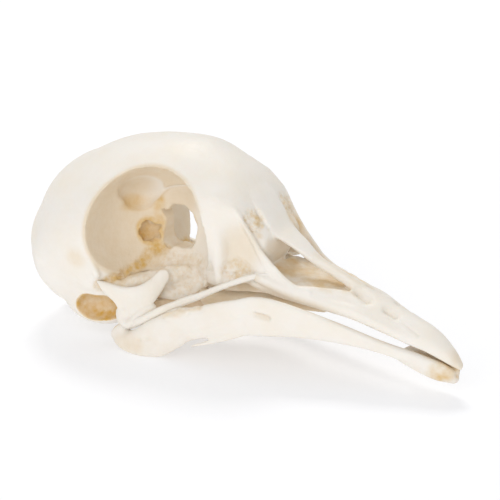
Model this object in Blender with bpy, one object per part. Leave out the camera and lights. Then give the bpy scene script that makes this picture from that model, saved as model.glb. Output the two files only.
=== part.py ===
"""Pigeon skull with its lower jaw, lying as on a museum shelf.

The bill points along +X, +Y is the bird's left and +Z is up. The skull rests on
the floor, z = 0, on the two angles of the lower jaw and on the base of the
braincase. The origin is at the middle of the bottom of its bounding box.
The sizes below are in millimetres. While the bones are set out, x = 0 lies at
the angles of the jaw, and place_bone moves the finished bone to the origin and
scales it to metres.
"""

import bmesh
import bpy
import numpy as np

MM = 0.001
GAP = 0.3
RIGHT = -1
LEFT = 1
SIDE_NAMES = {RIGHT: "right", LEFT: "left"}

REAR_X = -18.6
TIP_X = 33.24
ORIGIN_X = (REAR_X + TIP_X) / 2

# Braincase: an egg with its own radius each way.
BRAINCASE_CENTRE = (-8.8, 0.0, 10.3)
BRAINCASE_FRONT = 5.6
BRAINCASE_BACK = 9.2
BRAINCASE_HALF_WIDTH = 9.7
BRAINCASE_TOP = 8.7
BRAINCASE_BOTTOM = 9.0
HINDBRAIN_CENTRE = (-12.0, 0.0, 8.2)
HINDBRAIN_RADII = (6.6, 8.9, 7.2)

# Forehead and roof over the eyes: x, height of the crown, half width, height of the side, foot
ROOF_STATIONS = (
    (-15.0, 15.9, 5.6, 10.4, 7.0),
    (-12.0, 18.5, 8.2, 10.8, 7.0),
    (-9.0, 20.1, 9.3, 11.2, 7.0),
    (-6.0, 21.0, 9.4, 12.0, 7.0),
    (-2.5, 21.6, 9.0, 12.7, 7.2),
    (1.0, 21.8, 8.4, 13.2, 7.6),
    (4.0, 21.0, 7.3, 13.6, 8.2),
    (6.4, 19.9, 6.0, 15.6, 9.0),
    (8.4, 18.3, 5.0, 16.0, 10.0),
    (10.4, 15.8, 3.9, 14.0, 11.0),
)

# Bending line between the forehead and the bill
HINGE_POINT = (9.2, 0.0, 17.2)
HINGE_SLOPE = (0.76, 0.0, -0.65)

# Eye sockets
ORBIT_CENTRE = (-0.4, 7.4, 13.0)
ORBIT_FRONT = 6.4
ORBIT_BACK = 7.1
ORBIT_DEPTH = 7.0
ORBIT_TOP = 7.1
ORBIT_BOTTOM = 7.4

# Wall between the eyes, with its window, and the keel along its foot
SEPTUM_THICKNESS = 0.8
SEPTUM_OUTLINE = ((-5.0, 5.2), (-5.0, 17.5), (8.2, 15.8), (10.2, 12.8), (8.0, 7.6), (2.5, 6.4))
WINDOW_CENTRE = (-1.1, 0.0, 12.0)
WINDOW_RADII = (2.6, 2.0, 2.8)
KEEL_STATIONS = (
    (-9.0, 0.0, 4.0, 3.4, 2.6),
    (-5.6, 0.0, 5.3, 3.0, 2.4),
    (-2.0, 0.0, 6.8, 2.2, 1.9),
    (2.4, 0.0, 7.6, 1.6, 1.2),
    (8.4, 0.0, 9.0, 0.9, 1.0),
)

# Plate across the head in front of each eye, and the ridge down its outer edge
ETHMOID_STATIONS = (
    (6.5, 0.0, 16.2, 4.6, 1.0),
    (6.9, 0.0, 14.4, 5.7, 1.2),
    (7.2, 0.0, 12.0, 5.9, 1.3),
    (7.2, 0.0, 10.0, 5.4, 1.2),
    (6.8, 0.0, 8.6, 4.6, 0.9),
)
LACRIMAL_STATIONS = (
    (6.4, 5.1, 17.0, 1.0, 0.9),
    (7.0, 5.4, 14.6, 0.7, 0.8),
    (7.3, 5.4, 12.4, 0.6, 0.7),
    (7.1, 5.0, 10.4, 0.6, 0.6),
    (6.8, 4.6, 8.9, 0.5, 0.5),
)

# Behind the eye and round the ear
POSTORBITAL_STATIONS = (
    (-7.9, 8.7, 11.6, 0.7, 1.2),
    (-7.1, 8.8, 9.6, 0.5, 1.0),
    (-5.9, 8.7, 7.6, 0.35, 0.5),
)
ZYGOMATIC_STATIONS = (
    (-9.4, 7.6, 7.8, 1.4, 1.9),
    (-7.6, 8.1, 6.7, 1.0, 1.1),
    (-6.5, 8.2, 6.2, 0.6, 0.6),
)
EAR_CENTRE = (-8.0, 5.6, 4.0)
EAR_RADII = (4.5, 2.9, 2.8)
EAR_PIT_CENTRE = (-6.6, 8.5, 3.65)
EAR_PIT_RADII = (2.6, 2.5, 1.5)
BASE_STATIONS = (
    (-14.4, 0.0, 3.4, 3.4, 2.0),
    (-11.4, 0.0, 1.9, 3.8, 2.0),
    (-8.0, 0.0, 2.3, 3.6, 1.9),
    (-4.8, 0.0, 3.7, 2.8, 1.5),
)
NECK_HOLE_CENTRE = (-16.2, 0.0, 4.4)
NECK_HOLE_RADII = (2.4, 2.0, 2.1)
NECK_KNOB_CENTRE = (-14.4, 0.0, 1.7)
NECK_KNOB_RADII = (1.0, 0.9, 0.8)
NERVE_HOLE_CENTRE = (-4.8, 1.4, 10.4)
NERVE_HOLE_RADII = (1.6, 0.9, 1.2)
BRAIN_WINDOW_CENTRE = (-5.4, 3.4, 15.2)
BRAIN_WINDOW_RADII = (1.6, 1.5, 1.0)

# Upper bill: the same columns as the roof for its tip, then its bars
BILL_STATIONS = (
    (19.8, 9.75, 2.4, 8.5, 7.6),
    (21.4, 9.55, 2.9, 7.6, 6.9),
    (24.4, 8.55, 2.55, 6.5, 5.9),
    (27.4, 7.55, 2.1, 5.6, 5.1),
    (30.0, 6.6, 1.6, 4.9, 4.4),
    (32.0, 5.1, 1.0, 4.0, 3.5),
    (33.1, 3.8, 0.45, 3.4, 3.0),
)
CULMEN_STATIONS = (
    (7.6, 0.0, 18.2, 2.2, 0.6),
    (9.4, 0.0, 16.1, 2.1, 0.55),
    (11.2, 0.0, 14.0, 1.87, 0.5),
    (12.3, 0.0, 13.2, 1.5, 0.5),
    (13.6, 0.0, 12.5, 1.2, 0.5),
    (15.7, 0.0, 11.2, 0.8, 0.5),
    (18.3, 0.0, 10.2, 0.75, 0.5),
    (20.4, 0.0, 9.4, 1.0, 0.6),
    (23.0, 0.0, 8.3, 1.3, 0.6),
)
NASAL_STATIONS = (
    (7.0, 4.0, 17.4, 1.0, 0.7),
    (8.4, 4.35, 16.5, 0.6, 0.55),
    (9.4, 4.25, 15.2, 0.38, 0.42),
    (10.4, 4.12, 13.7, 0.35, 0.42),
    (11.4, 4.1, 12.2, 0.38, 0.5),
    (12.6, 4.0, 10.8, 0.45, 0.7),
    (13.8, 3.85, 9.8, 0.5, 0.75),
    (15.4, 3.7, 9.3, 0.55, 0.7),
)
TOMIUM_STATIONS = (
    (12.0, 4.7, 9.9, 0.5, 0.7),
    (14.5, 4.1, 9.0, 0.6, 0.9),
    (18.0, 3.3, 8.1, 0.6, 1.15),
    (21.5, 2.4, 7.35, 0.8, 1.1),
    (24.5, 1.85, 6.5, 0.75, 0.9),
    (27.5, 1.3, 5.6, 0.6, 0.6),
)
NOSTRIL_FLOOR_STATIONS = (
    (14.0, 0.0, 9.6, 2.8, 0.6),
    (17.0, 0.0, 9.5, 2.6, 0.8),
    (20.6, 0.0, 9.0, 2.2, 0.9),
)

# Slender bones of the palate and cheek
JUGAL_STATIONS = (
    (-2.2, 9.0, 3.1, 0.35, 0.45),
    (-0.6, 8.6, 4.1, 0.35, 0.5),
    (1.0, 7.7, 5.0, 0.35, 0.45),
    (2.9, 6.7, 6.0, 0.35, 0.45),
    (5.0, 6.0, 7.05, 0.35, 0.45),
    (8.0, 5.5, 8.7, 0.35, 0.45),
    (11.0, 4.9, 10.1, 0.35, 0.45),
)
PALATINE_STATIONS = (
    (2.3, 1.6, 6.0, 0.5, 0.5),
    (4.6, 2.7, 6.3, 1.2, 0.4),
    (8.6, 2.9, 6.8, 1.3, 0.35),
    (12.8, 2.5, 7.3, 0.8, 0.35),
    (17.6, 1.8, 7.3, 0.5, 0.35),
)
PTERYGOID_STATIONS = (
    (-0.8, 5.1, 4.2, 0.6, 0.6),
    (0.2, 3.4, 4.9, 0.4, 0.4),
    (1.3, 1.9, 5.6, 0.5, 0.5),
)
QUADRATE_STATIONS = (
    (-5.4, 7.3, 5.6, 0.7, 0.7),
    (-4.0, 7.3, 4.9, 0.8, 1.1),
    (-2.7, 7.3, 4.2, 0.9, 1.5),
    (-2.0, 7.3, 3.3, 0.95, 0.9),
)
QUADRATE_SPUR_STATIONS = (
    (-3.0, 7.0, 5.0, 0.7, 1.5),
    (-1.4, 5.9, 6.4, 0.5, 1.3),
    (-0.5, 4.9, 7.6, 0.35, 0.6),
)

# Lower jaw: x, y, height of the upper edge, height of the lower edge, half thickness
RAMUS_STATIONS = (
    (-3.7, 8.4, 3.1, 1.0, 0.7),
    (-2.8, 8.4, 2.2, 0.3, 1.1),
    (-1.2, 8.4, 2.1, -0.1, 1.3),
    (0.6, 8.2, 3.15, 0.0, 0.9),
    (3.6, 7.5, 5.9, 1.7, 0.65),
    (8.3, 7.0, 7.7, 3.3, 0.55),
    (12.9, 6.1, 8.7, 4.2, 0.5),
    (16.9, 5.0, 7.8, 4.6, 0.5),
    (21.0, 3.8, 6.6, 4.5, 0.5),
    (25.0, 2.6, 5.3, 4.0, 0.5),
    (28.6, 1.6, 4.2, 3.0, 0.6),
    (31.0, 0.8, 3.4, 2.1, 0.6),
)
CHIN_STATIONS = (
    (26.6, 0.0, 3.6, 2.2, 0.5),
    (28.6, 0.0, 2.9, 2.0, 0.6),
    (30.6, 0.0, 2.2, 1.5, 0.6),
    (32.2, 0.0, 1.9, 0.7, 0.5),
)
SPLINT_STATIONS = (
    (11.6, 6.5, 4.1, 0.3, 0.4),
    (8.0, 6.9, 3.2, 0.28, 0.3),
    (4.9, 7.2, 2.4, 0.25, 0.25),
)

BONE_COLOUR = (0.86, 0.82, 0.74, 1.0)
BONE_ROUGHNESS = 0.5


def clear_scene():
    """Remove every object that the scene starts with."""
    for item in list(bpy.data.objects):
        bpy.data.objects.remove(item, do_unlink=True)


def smooth_rows(rows, count):
    """Read `count` rows evenly from a smooth curve through the given rows."""
    rows = np.asarray(rows, dtype=float)
    padded = np.vstack([2 * rows[0] - rows[1], rows, 2 * rows[-1] - rows[-2]])
    place = np.linspace(0.0, len(rows) - 1.0, count)
    first = np.minimum(place.astype(int), len(rows) - 2)
    t = (place - first)[:, None]
    a, b, c, d = (padded[first + step] for step in range(4))
    return 0.5 * (2 * b + (c - a) * t + (2 * a - 5 * b + 4 * c - d) * t**2 + (3 * b - a - 3 * c + d) * t**3)


def new_object(name, points, faces):
    """Make a mesh object whose faces point outwards."""
    mesh = bpy.data.meshes.new(name)
    mesh.from_pydata([tuple(point) for point in points], [], faces)
    editor = bmesh.new()
    editor.from_mesh(mesh)
    bmesh.ops.recalc_face_normals(editor, faces=editor.faces)
    editor.to_mesh(mesh)
    editor.free()
    item = bpy.data.objects.new(name, mesh)
    bpy.context.collection.objects.link(item)
    return item


def ring_faces(rings, sides):
    """Faces of a closed skin: rings of points, then one pole before and one after them."""
    faces = []
    for ring in range(rings - 1):
        for side in range(sides):
            after = (side + 1) % sides
            faces.append((ring * sides + side, ring * sides + after,
                          (ring + 1) * sides + after, (ring + 1) * sides + side))
    first_pole = rings * sides
    last_pole = first_pole + 1
    last_ring = (rings - 1) * sides
    for side in range(sides):
        after = (side + 1) % sides
        faces.append((first_pole, after, side))
        faces.append((last_pole, last_ring + side, last_ring + after))
    return faces


def loft(name, stations, side=LEFT, steps=12, sides=10, roundness=2.0, upward=(0.0, 0.0, 1.0), grow=0.0):
    """Skin a bar with rounded ends through stations of x, y, z, half width, half height."""
    rows = smooth_rows(stations, steps)
    rows[:, 1] *= side
    rows[:, 3:] += grow
    path, half_width, half_height = rows[:, :3], rows[:, 3], rows[:, 4]
    along = np.gradient(path, axis=0)
    along /= np.linalg.norm(along, axis=1)[:, None]
    across = np.cross(upward, along)
    across /= np.linalg.norm(across, axis=1)[:, None]
    above = np.cross(along, across)
    turn = np.arange(sides) * 2 * np.pi / sides
    ring_x = np.sign(np.cos(turn)) * np.abs(np.cos(turn)) ** (2 / roundness)
    ring_y = np.sign(np.sin(turn)) * np.abs(np.sin(turn)) ** (2 / roundness)
    rings = []
    for row in range(-1, steps + 1):
        here = min(max(row, 0), steps - 1)
        end = row - here
        reach = min(half_width[here], half_height[here])
        scale = 0.7 if end else 1.0
        centre = path[here] + along[here] * reach * 0.6 * end
        rings.append(centre
                     + scale * half_width[here] * ring_x[:, None] * across[here]
                     + scale * half_height[here] * ring_y[:, None] * above[here])
    first_reach = min(half_width[0], half_height[0])
    last_reach = min(half_width[-1], half_height[-1])
    poles = [path[0] - along[0] * first_reach * 0.9, path[-1] + along[-1] * last_reach * 0.9]
    points = np.vstack(rings + [np.array(poles)])
    return new_object(name, points, ring_faces(steps + 2, sides))


def blade(name, stations, side, steps=18, sides=8):
    """Skin a jaw bone through stations of x, y, upper edge, lower edge, half thickness."""
    rows = np.asarray(stations, dtype=float)
    middle = (rows[:, 2] + rows[:, 3]) / 2
    half_height = (rows[:, 2] - rows[:, 3]) / 2
    bars = np.column_stack([rows[:, 0], rows[:, 1], middle, rows[:, 4], half_height])
    return loft(name, bars, side, steps, sides, roundness=2.6)


def egg(name, centre, back, front, half_width, top, bottom, side=LEFT, rings=15, sides=28):
    """Skin a closed egg with its own radius to the back, front, top and bottom."""
    height = np.linspace(0.0, np.pi, rings + 2)[1:-1, None]
    turn = np.arange(sides)[None, :] * 2 * np.pi / sides
    x = np.sin(height) * np.cos(turn)
    y = np.sin(height) * np.sin(turn)
    z = np.cos(height) * np.ones_like(turn)
    points = np.stack([
        x * np.where(x > 0, front, back),
        y * half_width,
        z * np.where(z > 0, top, bottom),
    ], axis=-1).reshape(-1, 3)
    points = np.vstack([points, (0.0, 0.0, top), (0.0, 0.0, -bottom)])
    points += (centre[0], centre[1] * side, centre[2])
    return new_object(name, points, ring_faces(rings, sides))


def ball(name, centre, radii, side=LEFT, rings=9, sides=16):
    """Skin an ellipsoid."""
    return egg(name, centre, radii[0], radii[0], radii[1], radii[2], radii[2], side, rings, sides)


def vault(name, stations, steps=16, sides=24):
    """Skin a domed shape through stations of x, crown, half width, height of the side, foot."""
    rows = smooth_rows(stations, steps)
    x, crown, half_width, side_height, foot = rows.T
    turn = (np.arange(sides) + 0.5) * 2 * np.pi / sides
    rise = np.where(np.sin(turn) > 0, (crown - side_height)[:, None], (side_height - foot)[:, None])
    points = np.stack([
        np.repeat(x[:, None], sides, axis=1),
        half_width[:, None] * np.cos(turn),
        side_height[:, None] + rise * np.sin(turn),
    ], axis=-1).reshape(-1, 3)
    cap = half_width[[0, -1]] * 0.3
    poles = [(x[0] - cap[0], 0.0, (crown[0] + foot[0]) / 2), (x[-1] + cap[1], 0.0, (crown[-1] + foot[-1]) / 2)]
    return new_object(name, np.vstack([points, poles]), ring_faces(steps, sides))


def slab(name, face_point, outward, size=30.0):
    """Make a block whose one face holds the point and looks against `outward`."""
    outward = np.asarray(outward) / np.linalg.norm(outward)
    across = np.array((0.0, 1.0, 0.0))
    above = np.cross(outward, across)
    near = [np.asarray(face_point) + size * (a * across + b * above) for a, b in ((-1, -1), (1, -1), (1, 1), (-1, 1))]
    far = [point + size * outward for point in near]
    faces = [(0, 1, 2, 3), (7, 6, 5, 4), (0, 4, 5, 1), (1, 5, 6, 2), (2, 6, 7, 3), (3, 7, 4, 0)]
    return new_object(name, near + far, faces)


def plate(name, outline, thickness):
    """Make an upright plate about y = 0 from its outline in x and z."""
    count = len(outline)
    points = [(x, -thickness / 2, z) for x, z in outline] + [(x, thickness / 2, z) for x, z in outline]
    faces = [tuple(range(count)), tuple(range(2 * count - 1, count - 1, -1))]
    for corner in range(count):
        after = (corner + 1) % count
        faces.append((corner, after, count + after, count + corner))
    return new_object(name, points, faces)


def floor_block():
    """Make a block that fills the space below the floor."""
    return slab("floor", (0.0, 0.0, 0.0), (0.0, 0.0, -1.0))


def combine(target, others, operation):
    """Join the others to the target, or cut them from it, and remove them."""
    group = bpy.data.collections.new("tools")
    bpy.context.scene.collection.children.link(group)
    for other in others:
        bpy.context.collection.objects.unlink(other)
        group.objects.link(other)
    step = target.modifiers.new(operation, "BOOLEAN")
    step.operation = operation
    step.operand_type = "COLLECTION"
    step.collection = group
    step.solver = "EXACT"
    bpy.context.view_layer.update()
    finished = bpy.data.meshes.new_from_object(target.evaluated_get(bpy.context.evaluated_depsgraph_get()))
    target.modifiers.clear()
    target.data = finished
    for other in others:
        bpy.data.objects.remove(other, do_unlink=True)
    bpy.data.collections.remove(group)
    return target


def keep_largest(item):
    """Keep only the largest closed surface of a mesh."""
    editor = bmesh.new()
    editor.from_mesh(item.data)
    unseen = set(editor.faces)
    shells = []
    while unseen:
        front = [unseen.pop()]
        shell = []
        while front:
            face = front.pop()
            shell.append(face)
            for edge in face.edges:
                for other in edge.link_faces:
                    if other in unseen:
                        unseen.remove(other)
                        front.append(other)
        shells.append(shell)
    shells.sort(key=len)
    for shell in shells[:-1]:
        bmesh.ops.delete(editor, geom=shell, context="FACES")
    loose = [point for point in editor.verts if not point.link_faces]
    bmesh.ops.delete(editor, geom=loose, context="VERTS")
    editor.to_mesh(item.data)
    editor.free()


def bone_material(name, colour):
    """Make a matt bone material of one colour."""
    material = bpy.data.materials.new(name)
    material.use_nodes = True
    shader = material.node_tree.nodes["Principled BSDF"]
    shader.inputs["Base Color"].default_value = colour
    shader.inputs["Roughness"].default_value = BONE_ROUGHNESS
    shader.inputs["Metallic"].default_value = 0.0
    return material


def place_bone(item, name, colour):
    """Name a finished bone, move it to the part's origin, scale it to metres and colour it."""
    keep_largest(item)
    editor = bmesh.new()
    editor.from_mesh(item.data)
    bmesh.ops.translate(editor, verts=editor.verts, vec=(-ORIGIN_X, 0.0, 0.0))
    bmesh.ops.scale(editor, verts=editor.verts, vec=(MM, MM, MM))
    bmesh.ops.triangulate(editor, faces=editor.faces)
    editor.to_mesh(item.data)
    editor.free()
    item.name = name
    item.data.name = name
    item.data.materials.clear()
    item.data.materials.append(bone_material(name, colour))
    item.data.shade_smooth()
    return item


def both_sides(make):
    """Call a maker for the right and for the left side."""
    return [make(side) for side in (RIGHT, LEFT)]


def quadrate_pieces(side, grow=0.0):
    """Body and spur of the bone that carries the lower jaw."""
    return [loft("quadrate", QUADRATE_STATIONS, side, steps=8, sides=10, grow=grow),
            loft("spur", QUADRATE_SPUR_STATIONS, side, steps=6, sides=8, grow=grow)]


def make_cranium():
    """Braincase, roof, eye sockets, the wall between them and the bones round the ear."""
    braincase = egg("braincase", BRAINCASE_CENTRE, BRAINCASE_BACK, BRAINCASE_FRONT,
                    BRAINCASE_HALF_WIDTH, BRAINCASE_TOP, BRAINCASE_BOTTOM)
    roof = vault("roof", ROOF_STATIONS)
    combine(roof, [slab("hinge", HINGE_POINT, HINGE_SLOPE)], "DIFFERENCE")
    solids = [roof, loft("base", BASE_STATIONS, steps=6, sides=12),
              ball("hindbrain", HINDBRAIN_CENTRE, HINDBRAIN_RADII, rings=13, sides=24),
              loft("ethmoid", ETHMOID_STATIONS, LEFT, 10, 18, roundness=2.6, upward=(1.0, 0.0, 0.0))]
    solids += both_sides(lambda side: ball("ear", EAR_CENTRE, EAR_RADII, side, sides=16))
    solids += both_sides(lambda side: loft("zygomatic", ZYGOMATIC_STATIONS, side, steps=4, sides=8))
    combine(braincase, solids, "UNION")
    hollows = both_sides(lambda side: egg("orbit", ORBIT_CENTRE, ORBIT_BACK, ORBIT_FRONT, ORBIT_DEPTH,
                                          ORBIT_TOP, ORBIT_BOTTOM, side))
    hollows += both_sides(lambda side: ball("ear_pit", EAR_PIT_CENTRE, EAR_PIT_RADII, side))
    hollows += both_sides(lambda side: ball("brain_window", BRAIN_WINDOW_CENTRE, BRAIN_WINDOW_RADII, side))
    hollows.append(ball("neck_hole", NECK_HOLE_CENTRE, NECK_HOLE_RADII))
    hollows += quadrate_pieces(RIGHT, GAP) + quadrate_pieces(LEFT, GAP)
    combine(braincase, hollows, "DIFFERENCE")
    walls = [ball("neck_knob", NECK_KNOB_CENTRE, NECK_KNOB_RADII, rings=7, sides=12),
             plate("septum", SEPTUM_OUTLINE, SEPTUM_THICKNESS),
             loft("keel", KEEL_STATIONS, steps=8, sides=10)]
    walls += both_sides(lambda side: loft("lacrimal", LACRIMAL_STATIONS, side, 9, 10, upward=(1.0, 0.0, 0.0)))
    walls += both_sides(lambda side: loft("postorbital", POSTORBITAL_STATIONS, side, 5, 8, upward=(1.0, 0.0, 0.0)))
    combine(braincase, walls, "UNION")
    holes = both_sides(lambda side: ball("nerve_hole", NERVE_HOLE_CENTRE, NERVE_HOLE_RADII, side, 7, 10))
    holes += [ball("window", WINDOW_CENTRE, WINDOW_RADII), floor_block()]
    combine(braincase, holes, "DIFFERENCE")
    return place_bone(braincase, "cranium", BONE_COLOUR)


def make_upper_bill():
    """Bill tip with its ridge, its two edges and the bars beside the nostrils."""
    bill = vault("bill", BILL_STATIONS, steps=14, sides=16)
    bars = [loft("culmen", CULMEN_STATIONS, steps=14, sides=10),
            loft("nostril_floor", NOSTRIL_FLOOR_STATIONS, steps=6, sides=10)]
    bars += both_sides(lambda side: loft("nasal", NASAL_STATIONS, side, steps=11, sides=8))
    bars += both_sides(lambda side: loft("tomium", TOMIUM_STATIONS, side, steps=10, sides=8))
    combine(bill, bars, "UNION")
    behind = -np.array(HINGE_SLOPE)
    combine(bill, [slab("hinge", np.array(HINGE_POINT) - GAP * behind, behind)], "DIFFERENCE")
    return place_bone(bill, "upper_bill", BONE_COLOUR)


def make_mandible():
    """Lower jaw: two blades that meet in a shallow spoon at the tip."""
    jaw = loft("chin", CHIN_STATIONS, steps=8, sides=12)
    blades = both_sides(lambda side: blade("ramus", RAMUS_STATIONS, side, steps=20))
    blades.append(loft("splint", SPLINT_STATIONS, RIGHT, steps=6, sides=6))
    combine(jaw, blades, "UNION")
    combine(jaw, [floor_block()], "DIFFERENCE")
    return place_bone(jaw, "mandible", BONE_COLOUR)


def make_quadrate(side):
    """Bone that hinges the lower jaw to the braincase, with its spur into the eye socket."""
    body, spur = quadrate_pieces(side)
    combine(body, [spur], "UNION")
    return place_bone(body, "quadrate_" + SIDE_NAMES[side], BONE_COLOUR)


def make_bar(name, stations, side, steps, sides):
    """One slender bone that is a single bar."""
    return place_bone(loft(name, stations, side, steps, sides), name + "_" + SIDE_NAMES[side], BONE_COLOUR)


def main():
    """Build every bone of the skull."""
    clear_scene()
    make_cranium()
    make_upper_bill()
    make_mandible()
    for side in (RIGHT, LEFT):
        make_quadrate(side)
        make_bar("jugal_bar", JUGAL_STATIONS, side, 10, 8)
        make_bar("palatine", PALATINE_STATIONS, side, 10, 8)
        make_bar("pterygoid", PTERYGOID_STATIONS, side, 5, 8)


main()
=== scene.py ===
"""Pigeon skull with its lower jaw, as clean dry bone on a pale studio floor.

Every bone starts as named forms in millimetres: bars, eggs, vaults and blades,
each a surface of two parameters. The forms of a bone are fused, hollowed and
then worked as one fine skin: relaxed, grooved, pitted and roughened. While the
bones are worked, x = 0 lies at the angles of the jaw, and the last step moves
each bone to the frame's origin and scales it to metres.
"""

import logging
import math
from dataclasses import dataclass
from enum import Enum, IntEnum
from typing import Sequence, Union

import bpy
import numpy as np
from mathutils import Matrix, Vector


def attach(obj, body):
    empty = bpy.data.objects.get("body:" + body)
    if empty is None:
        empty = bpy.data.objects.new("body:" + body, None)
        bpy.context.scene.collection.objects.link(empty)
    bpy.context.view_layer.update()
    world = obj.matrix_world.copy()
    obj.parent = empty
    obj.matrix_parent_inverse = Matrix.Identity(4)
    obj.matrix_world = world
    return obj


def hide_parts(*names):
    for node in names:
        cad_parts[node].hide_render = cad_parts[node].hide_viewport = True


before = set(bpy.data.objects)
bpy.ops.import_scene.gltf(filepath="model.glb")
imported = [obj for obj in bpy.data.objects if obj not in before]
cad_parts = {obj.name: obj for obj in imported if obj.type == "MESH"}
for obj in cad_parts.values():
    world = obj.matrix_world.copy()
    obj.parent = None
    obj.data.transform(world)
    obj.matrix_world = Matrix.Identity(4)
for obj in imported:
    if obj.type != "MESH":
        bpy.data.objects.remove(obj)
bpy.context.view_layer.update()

log = logging.getLogger("skull")

MM = 0.001
ORIGIN_X = 7.32
BODY = "root"

# Rings in each rounded end of a bar, and the end's length as a share of the smaller half size.
CAP_RINGS = 4
CAP_REACH = 0.9

# A round of smoothing moves a point this share of the way to its neighbours' mean, then back out.
STEP_IN = 0.5
STEP_OUT = 0.53

# Multipliers that mix the bits of a noise cube's corner.
CORNER_MIX = (73856093, 19349663, 83492791)
SEED_MIX = 2654435761
BIT_MIX = 1274126177

Rows = tuple[tuple[float, ...], ...]
Point = tuple[float, float, float]
Colour = tuple[float, float, float, float]

FORWARD = (1.0, 0.0, 0.0)


class Side(Enum):
    """The two sides of the head. The value multiplies y."""

    RIGHT = -1
    LEFT = 1

    @property
    def word(self) -> str:
        """The side's name in lower case."""
        return self.name.lower()


class Seed(IntEnum):
    """The noise pattern of each use. Every run gives the same patterns."""

    QUADRATE = 3
    SLENDER = 4
    EGG = 5
    PANE = 9
    SKULL = 11
    DRESS = 21
    SPONGE = 31
    SKULL_STAIN = 41
    SKULL_STAIN_FINE = 43
    JAW = 51
    JAW_EDGE = 53
    JAW_STAIN = 55


# Surfaces


@dataclass(frozen=True)
class Surface:
    """A closed surface: points in millimetres and its faces as rows of point numbers."""

    points: np.ndarray
    faces: tuple[np.ndarray, ...]

    def outward(self) -> "Surface":
        """Turn the faces outwards.

        Returns:
            The surface whose signed volume, the sum of a . (b x c) / 6 over its triangles, is positive.
        """
        volume = 0.0
        for rows in self.faces:
            for last in range(2, rows.shape[1]):
                a, b, c = (self.points[rows[:, k]] for k in (0, last - 1, last))
                volume += float(np.einsum("ij,ij->", a, np.cross(b, c)))
        if volume >= 0:
            return self
        return Surface(self.points, tuple(rows[:, ::-1] for rows in self.faces))


def smooth_rows(rows: Rows, count: int) -> np.ndarray:
    """Read rows evenly from a Catmull-Rom curve through the given rows.

    Args:
        rows: Stations along a form.
        count: How many rows to read.

    Returns:
        An array of `count` rows. Between rows b and c, with neighbours a and d, a row is
        half of 2b + (c - a)t + (2a - 5b + 4c - d)t^2 + (3b - a - 3c + d)t^3.
    """
    table = np.asarray(rows, dtype=float)
    padded = np.vstack([2 * table[0] - table[1], table, 2 * table[-1] - table[-2]])
    place = np.linspace(0.0, len(table) - 1.0, count)
    first = np.minimum(place.astype(int), len(table) - 2)
    t = (place - first)[:, None]
    a, b, c, d = (padded[first + step] for step in range(4))
    return 0.5 * (2 * b + (c - a) * t + (2 * a - 5 * b + 4 * c - d) * t**2 + (3 * b - a - 3 * c + d) * t**3)


def unit(rows: np.ndarray) -> np.ndarray:
    """Scale each row to length one."""
    return rows / np.maximum(np.linalg.norm(rows, axis=-1, keepdims=True), 1e-12)


def closed_grid(rings: np.ndarray, first_pole: np.ndarray, last_pole: np.ndarray) -> Surface:
    """Close a grid of rings with a pole before the first and after the last.

    Args:
        rings: Points as an array of rings, sides and coordinates.
        first_pole: The point that closes the first ring.
        last_pole: The point that closes the last ring.

    Returns:
        The closed surface, its faces pointing outwards.
    """
    count, sides = rings.shape[:2]
    ring, side = np.meshgrid(np.arange(count - 1), np.arange(sides), indexing="ij")
    after = (side + 1) % sides
    quads = np.stack([ring * sides + side, ring * sides + after,
                      (ring + 1) * sides + after, (ring + 1) * sides + side], axis=-1).reshape(-1, 4)
    here = np.arange(sides)
    beyond = (here + 1) % sides
    tail = (count - 1) * sides
    head = np.stack([np.full(sides, count * sides), beyond, here], axis=-1)
    foot = np.stack([np.full(sides, count * sides + 1), tail + here, tail + beyond], axis=-1)
    points = np.vstack([rings.reshape(-1, 3), first_pole, last_pole])
    return Surface(points, (quads, np.vstack([head, foot]))).outward()


def power(values: np.ndarray, exponent: float) -> np.ndarray:
    """Raise the size of each value to a power and keep its sign."""
    return np.sign(values) * np.abs(values) ** exponent


@dataclass(frozen=True)
class Bar:
    """A bar with rounded ends through stations of x, y, z, half width and half height.

    A point of the surface at s along the path and angle a round it is path(s)
    + half width * cos(a)^(2/n) * across + half height * sin(a)^(2/n) * above, n being the roundness.
    Across is square to the path and to `upward`, which is given for the left side of the head.
    """

    stations: Rows
    steps: int = 60
    sides: int = 24
    roundness: float = 2.0
    upward: Point = (0.0, 0.0, 1.0)

    def surface(self, side: Side = Side.LEFT, grow: float = 0.0) -> Surface:
        """Skin the bar.

        Args:
            side: The side of the head.
            grow: Millimetres added to the half width and half height.

        Returns:
            The closed surface.
        """
        rows = smooth_rows(self.stations, self.steps)
        rows[:, 1] *= side.value
        rows[:, 3:5] += grow
        path, half_width, half_height = rows[:, :3], rows[:, 3], rows[:, 4]
        along = unit(np.gradient(path, axis=0))
        across = unit(np.cross(np.array(self.upward) * (1.0, side.value, 1.0), along))
        above = np.cross(along, across)
        lean = np.linspace(0.0, np.pi / 2, CAP_RINGS + 2)[1:-1]
        last = self.steps - 1
        index = np.concatenate([np.zeros(CAP_RINGS, int), np.arange(self.steps), np.full(CAP_RINGS, last)])
        reach = CAP_REACH * np.minimum(half_width, half_height)
        offset = np.concatenate([-np.sin(lean[::-1]), np.zeros(self.steps), np.sin(lean)]) * reach[index]
        scale = np.concatenate([np.cos(lean[::-1]), np.ones(self.steps), np.cos(lean)])[:, None, None]
        turn = np.arange(self.sides) * 2 * np.pi / self.sides
        ring_x = power(np.cos(turn), 2 / self.roundness)[None, :, None]
        ring_y = power(np.sin(turn), 2 / self.roundness)[None, :, None]
        centre = (path[index] + along[index] * offset[:, None])[:, None, :]
        rings = (centre + scale * (half_width[index, None, None] * ring_x * across[index, None, :]
                                   + half_height[index, None, None] * ring_y * above[index, None, :]))
        return closed_grid(rings, path[0] - along[0] * reach[0], path[-1] + along[-1] * reach[-1])


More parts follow.
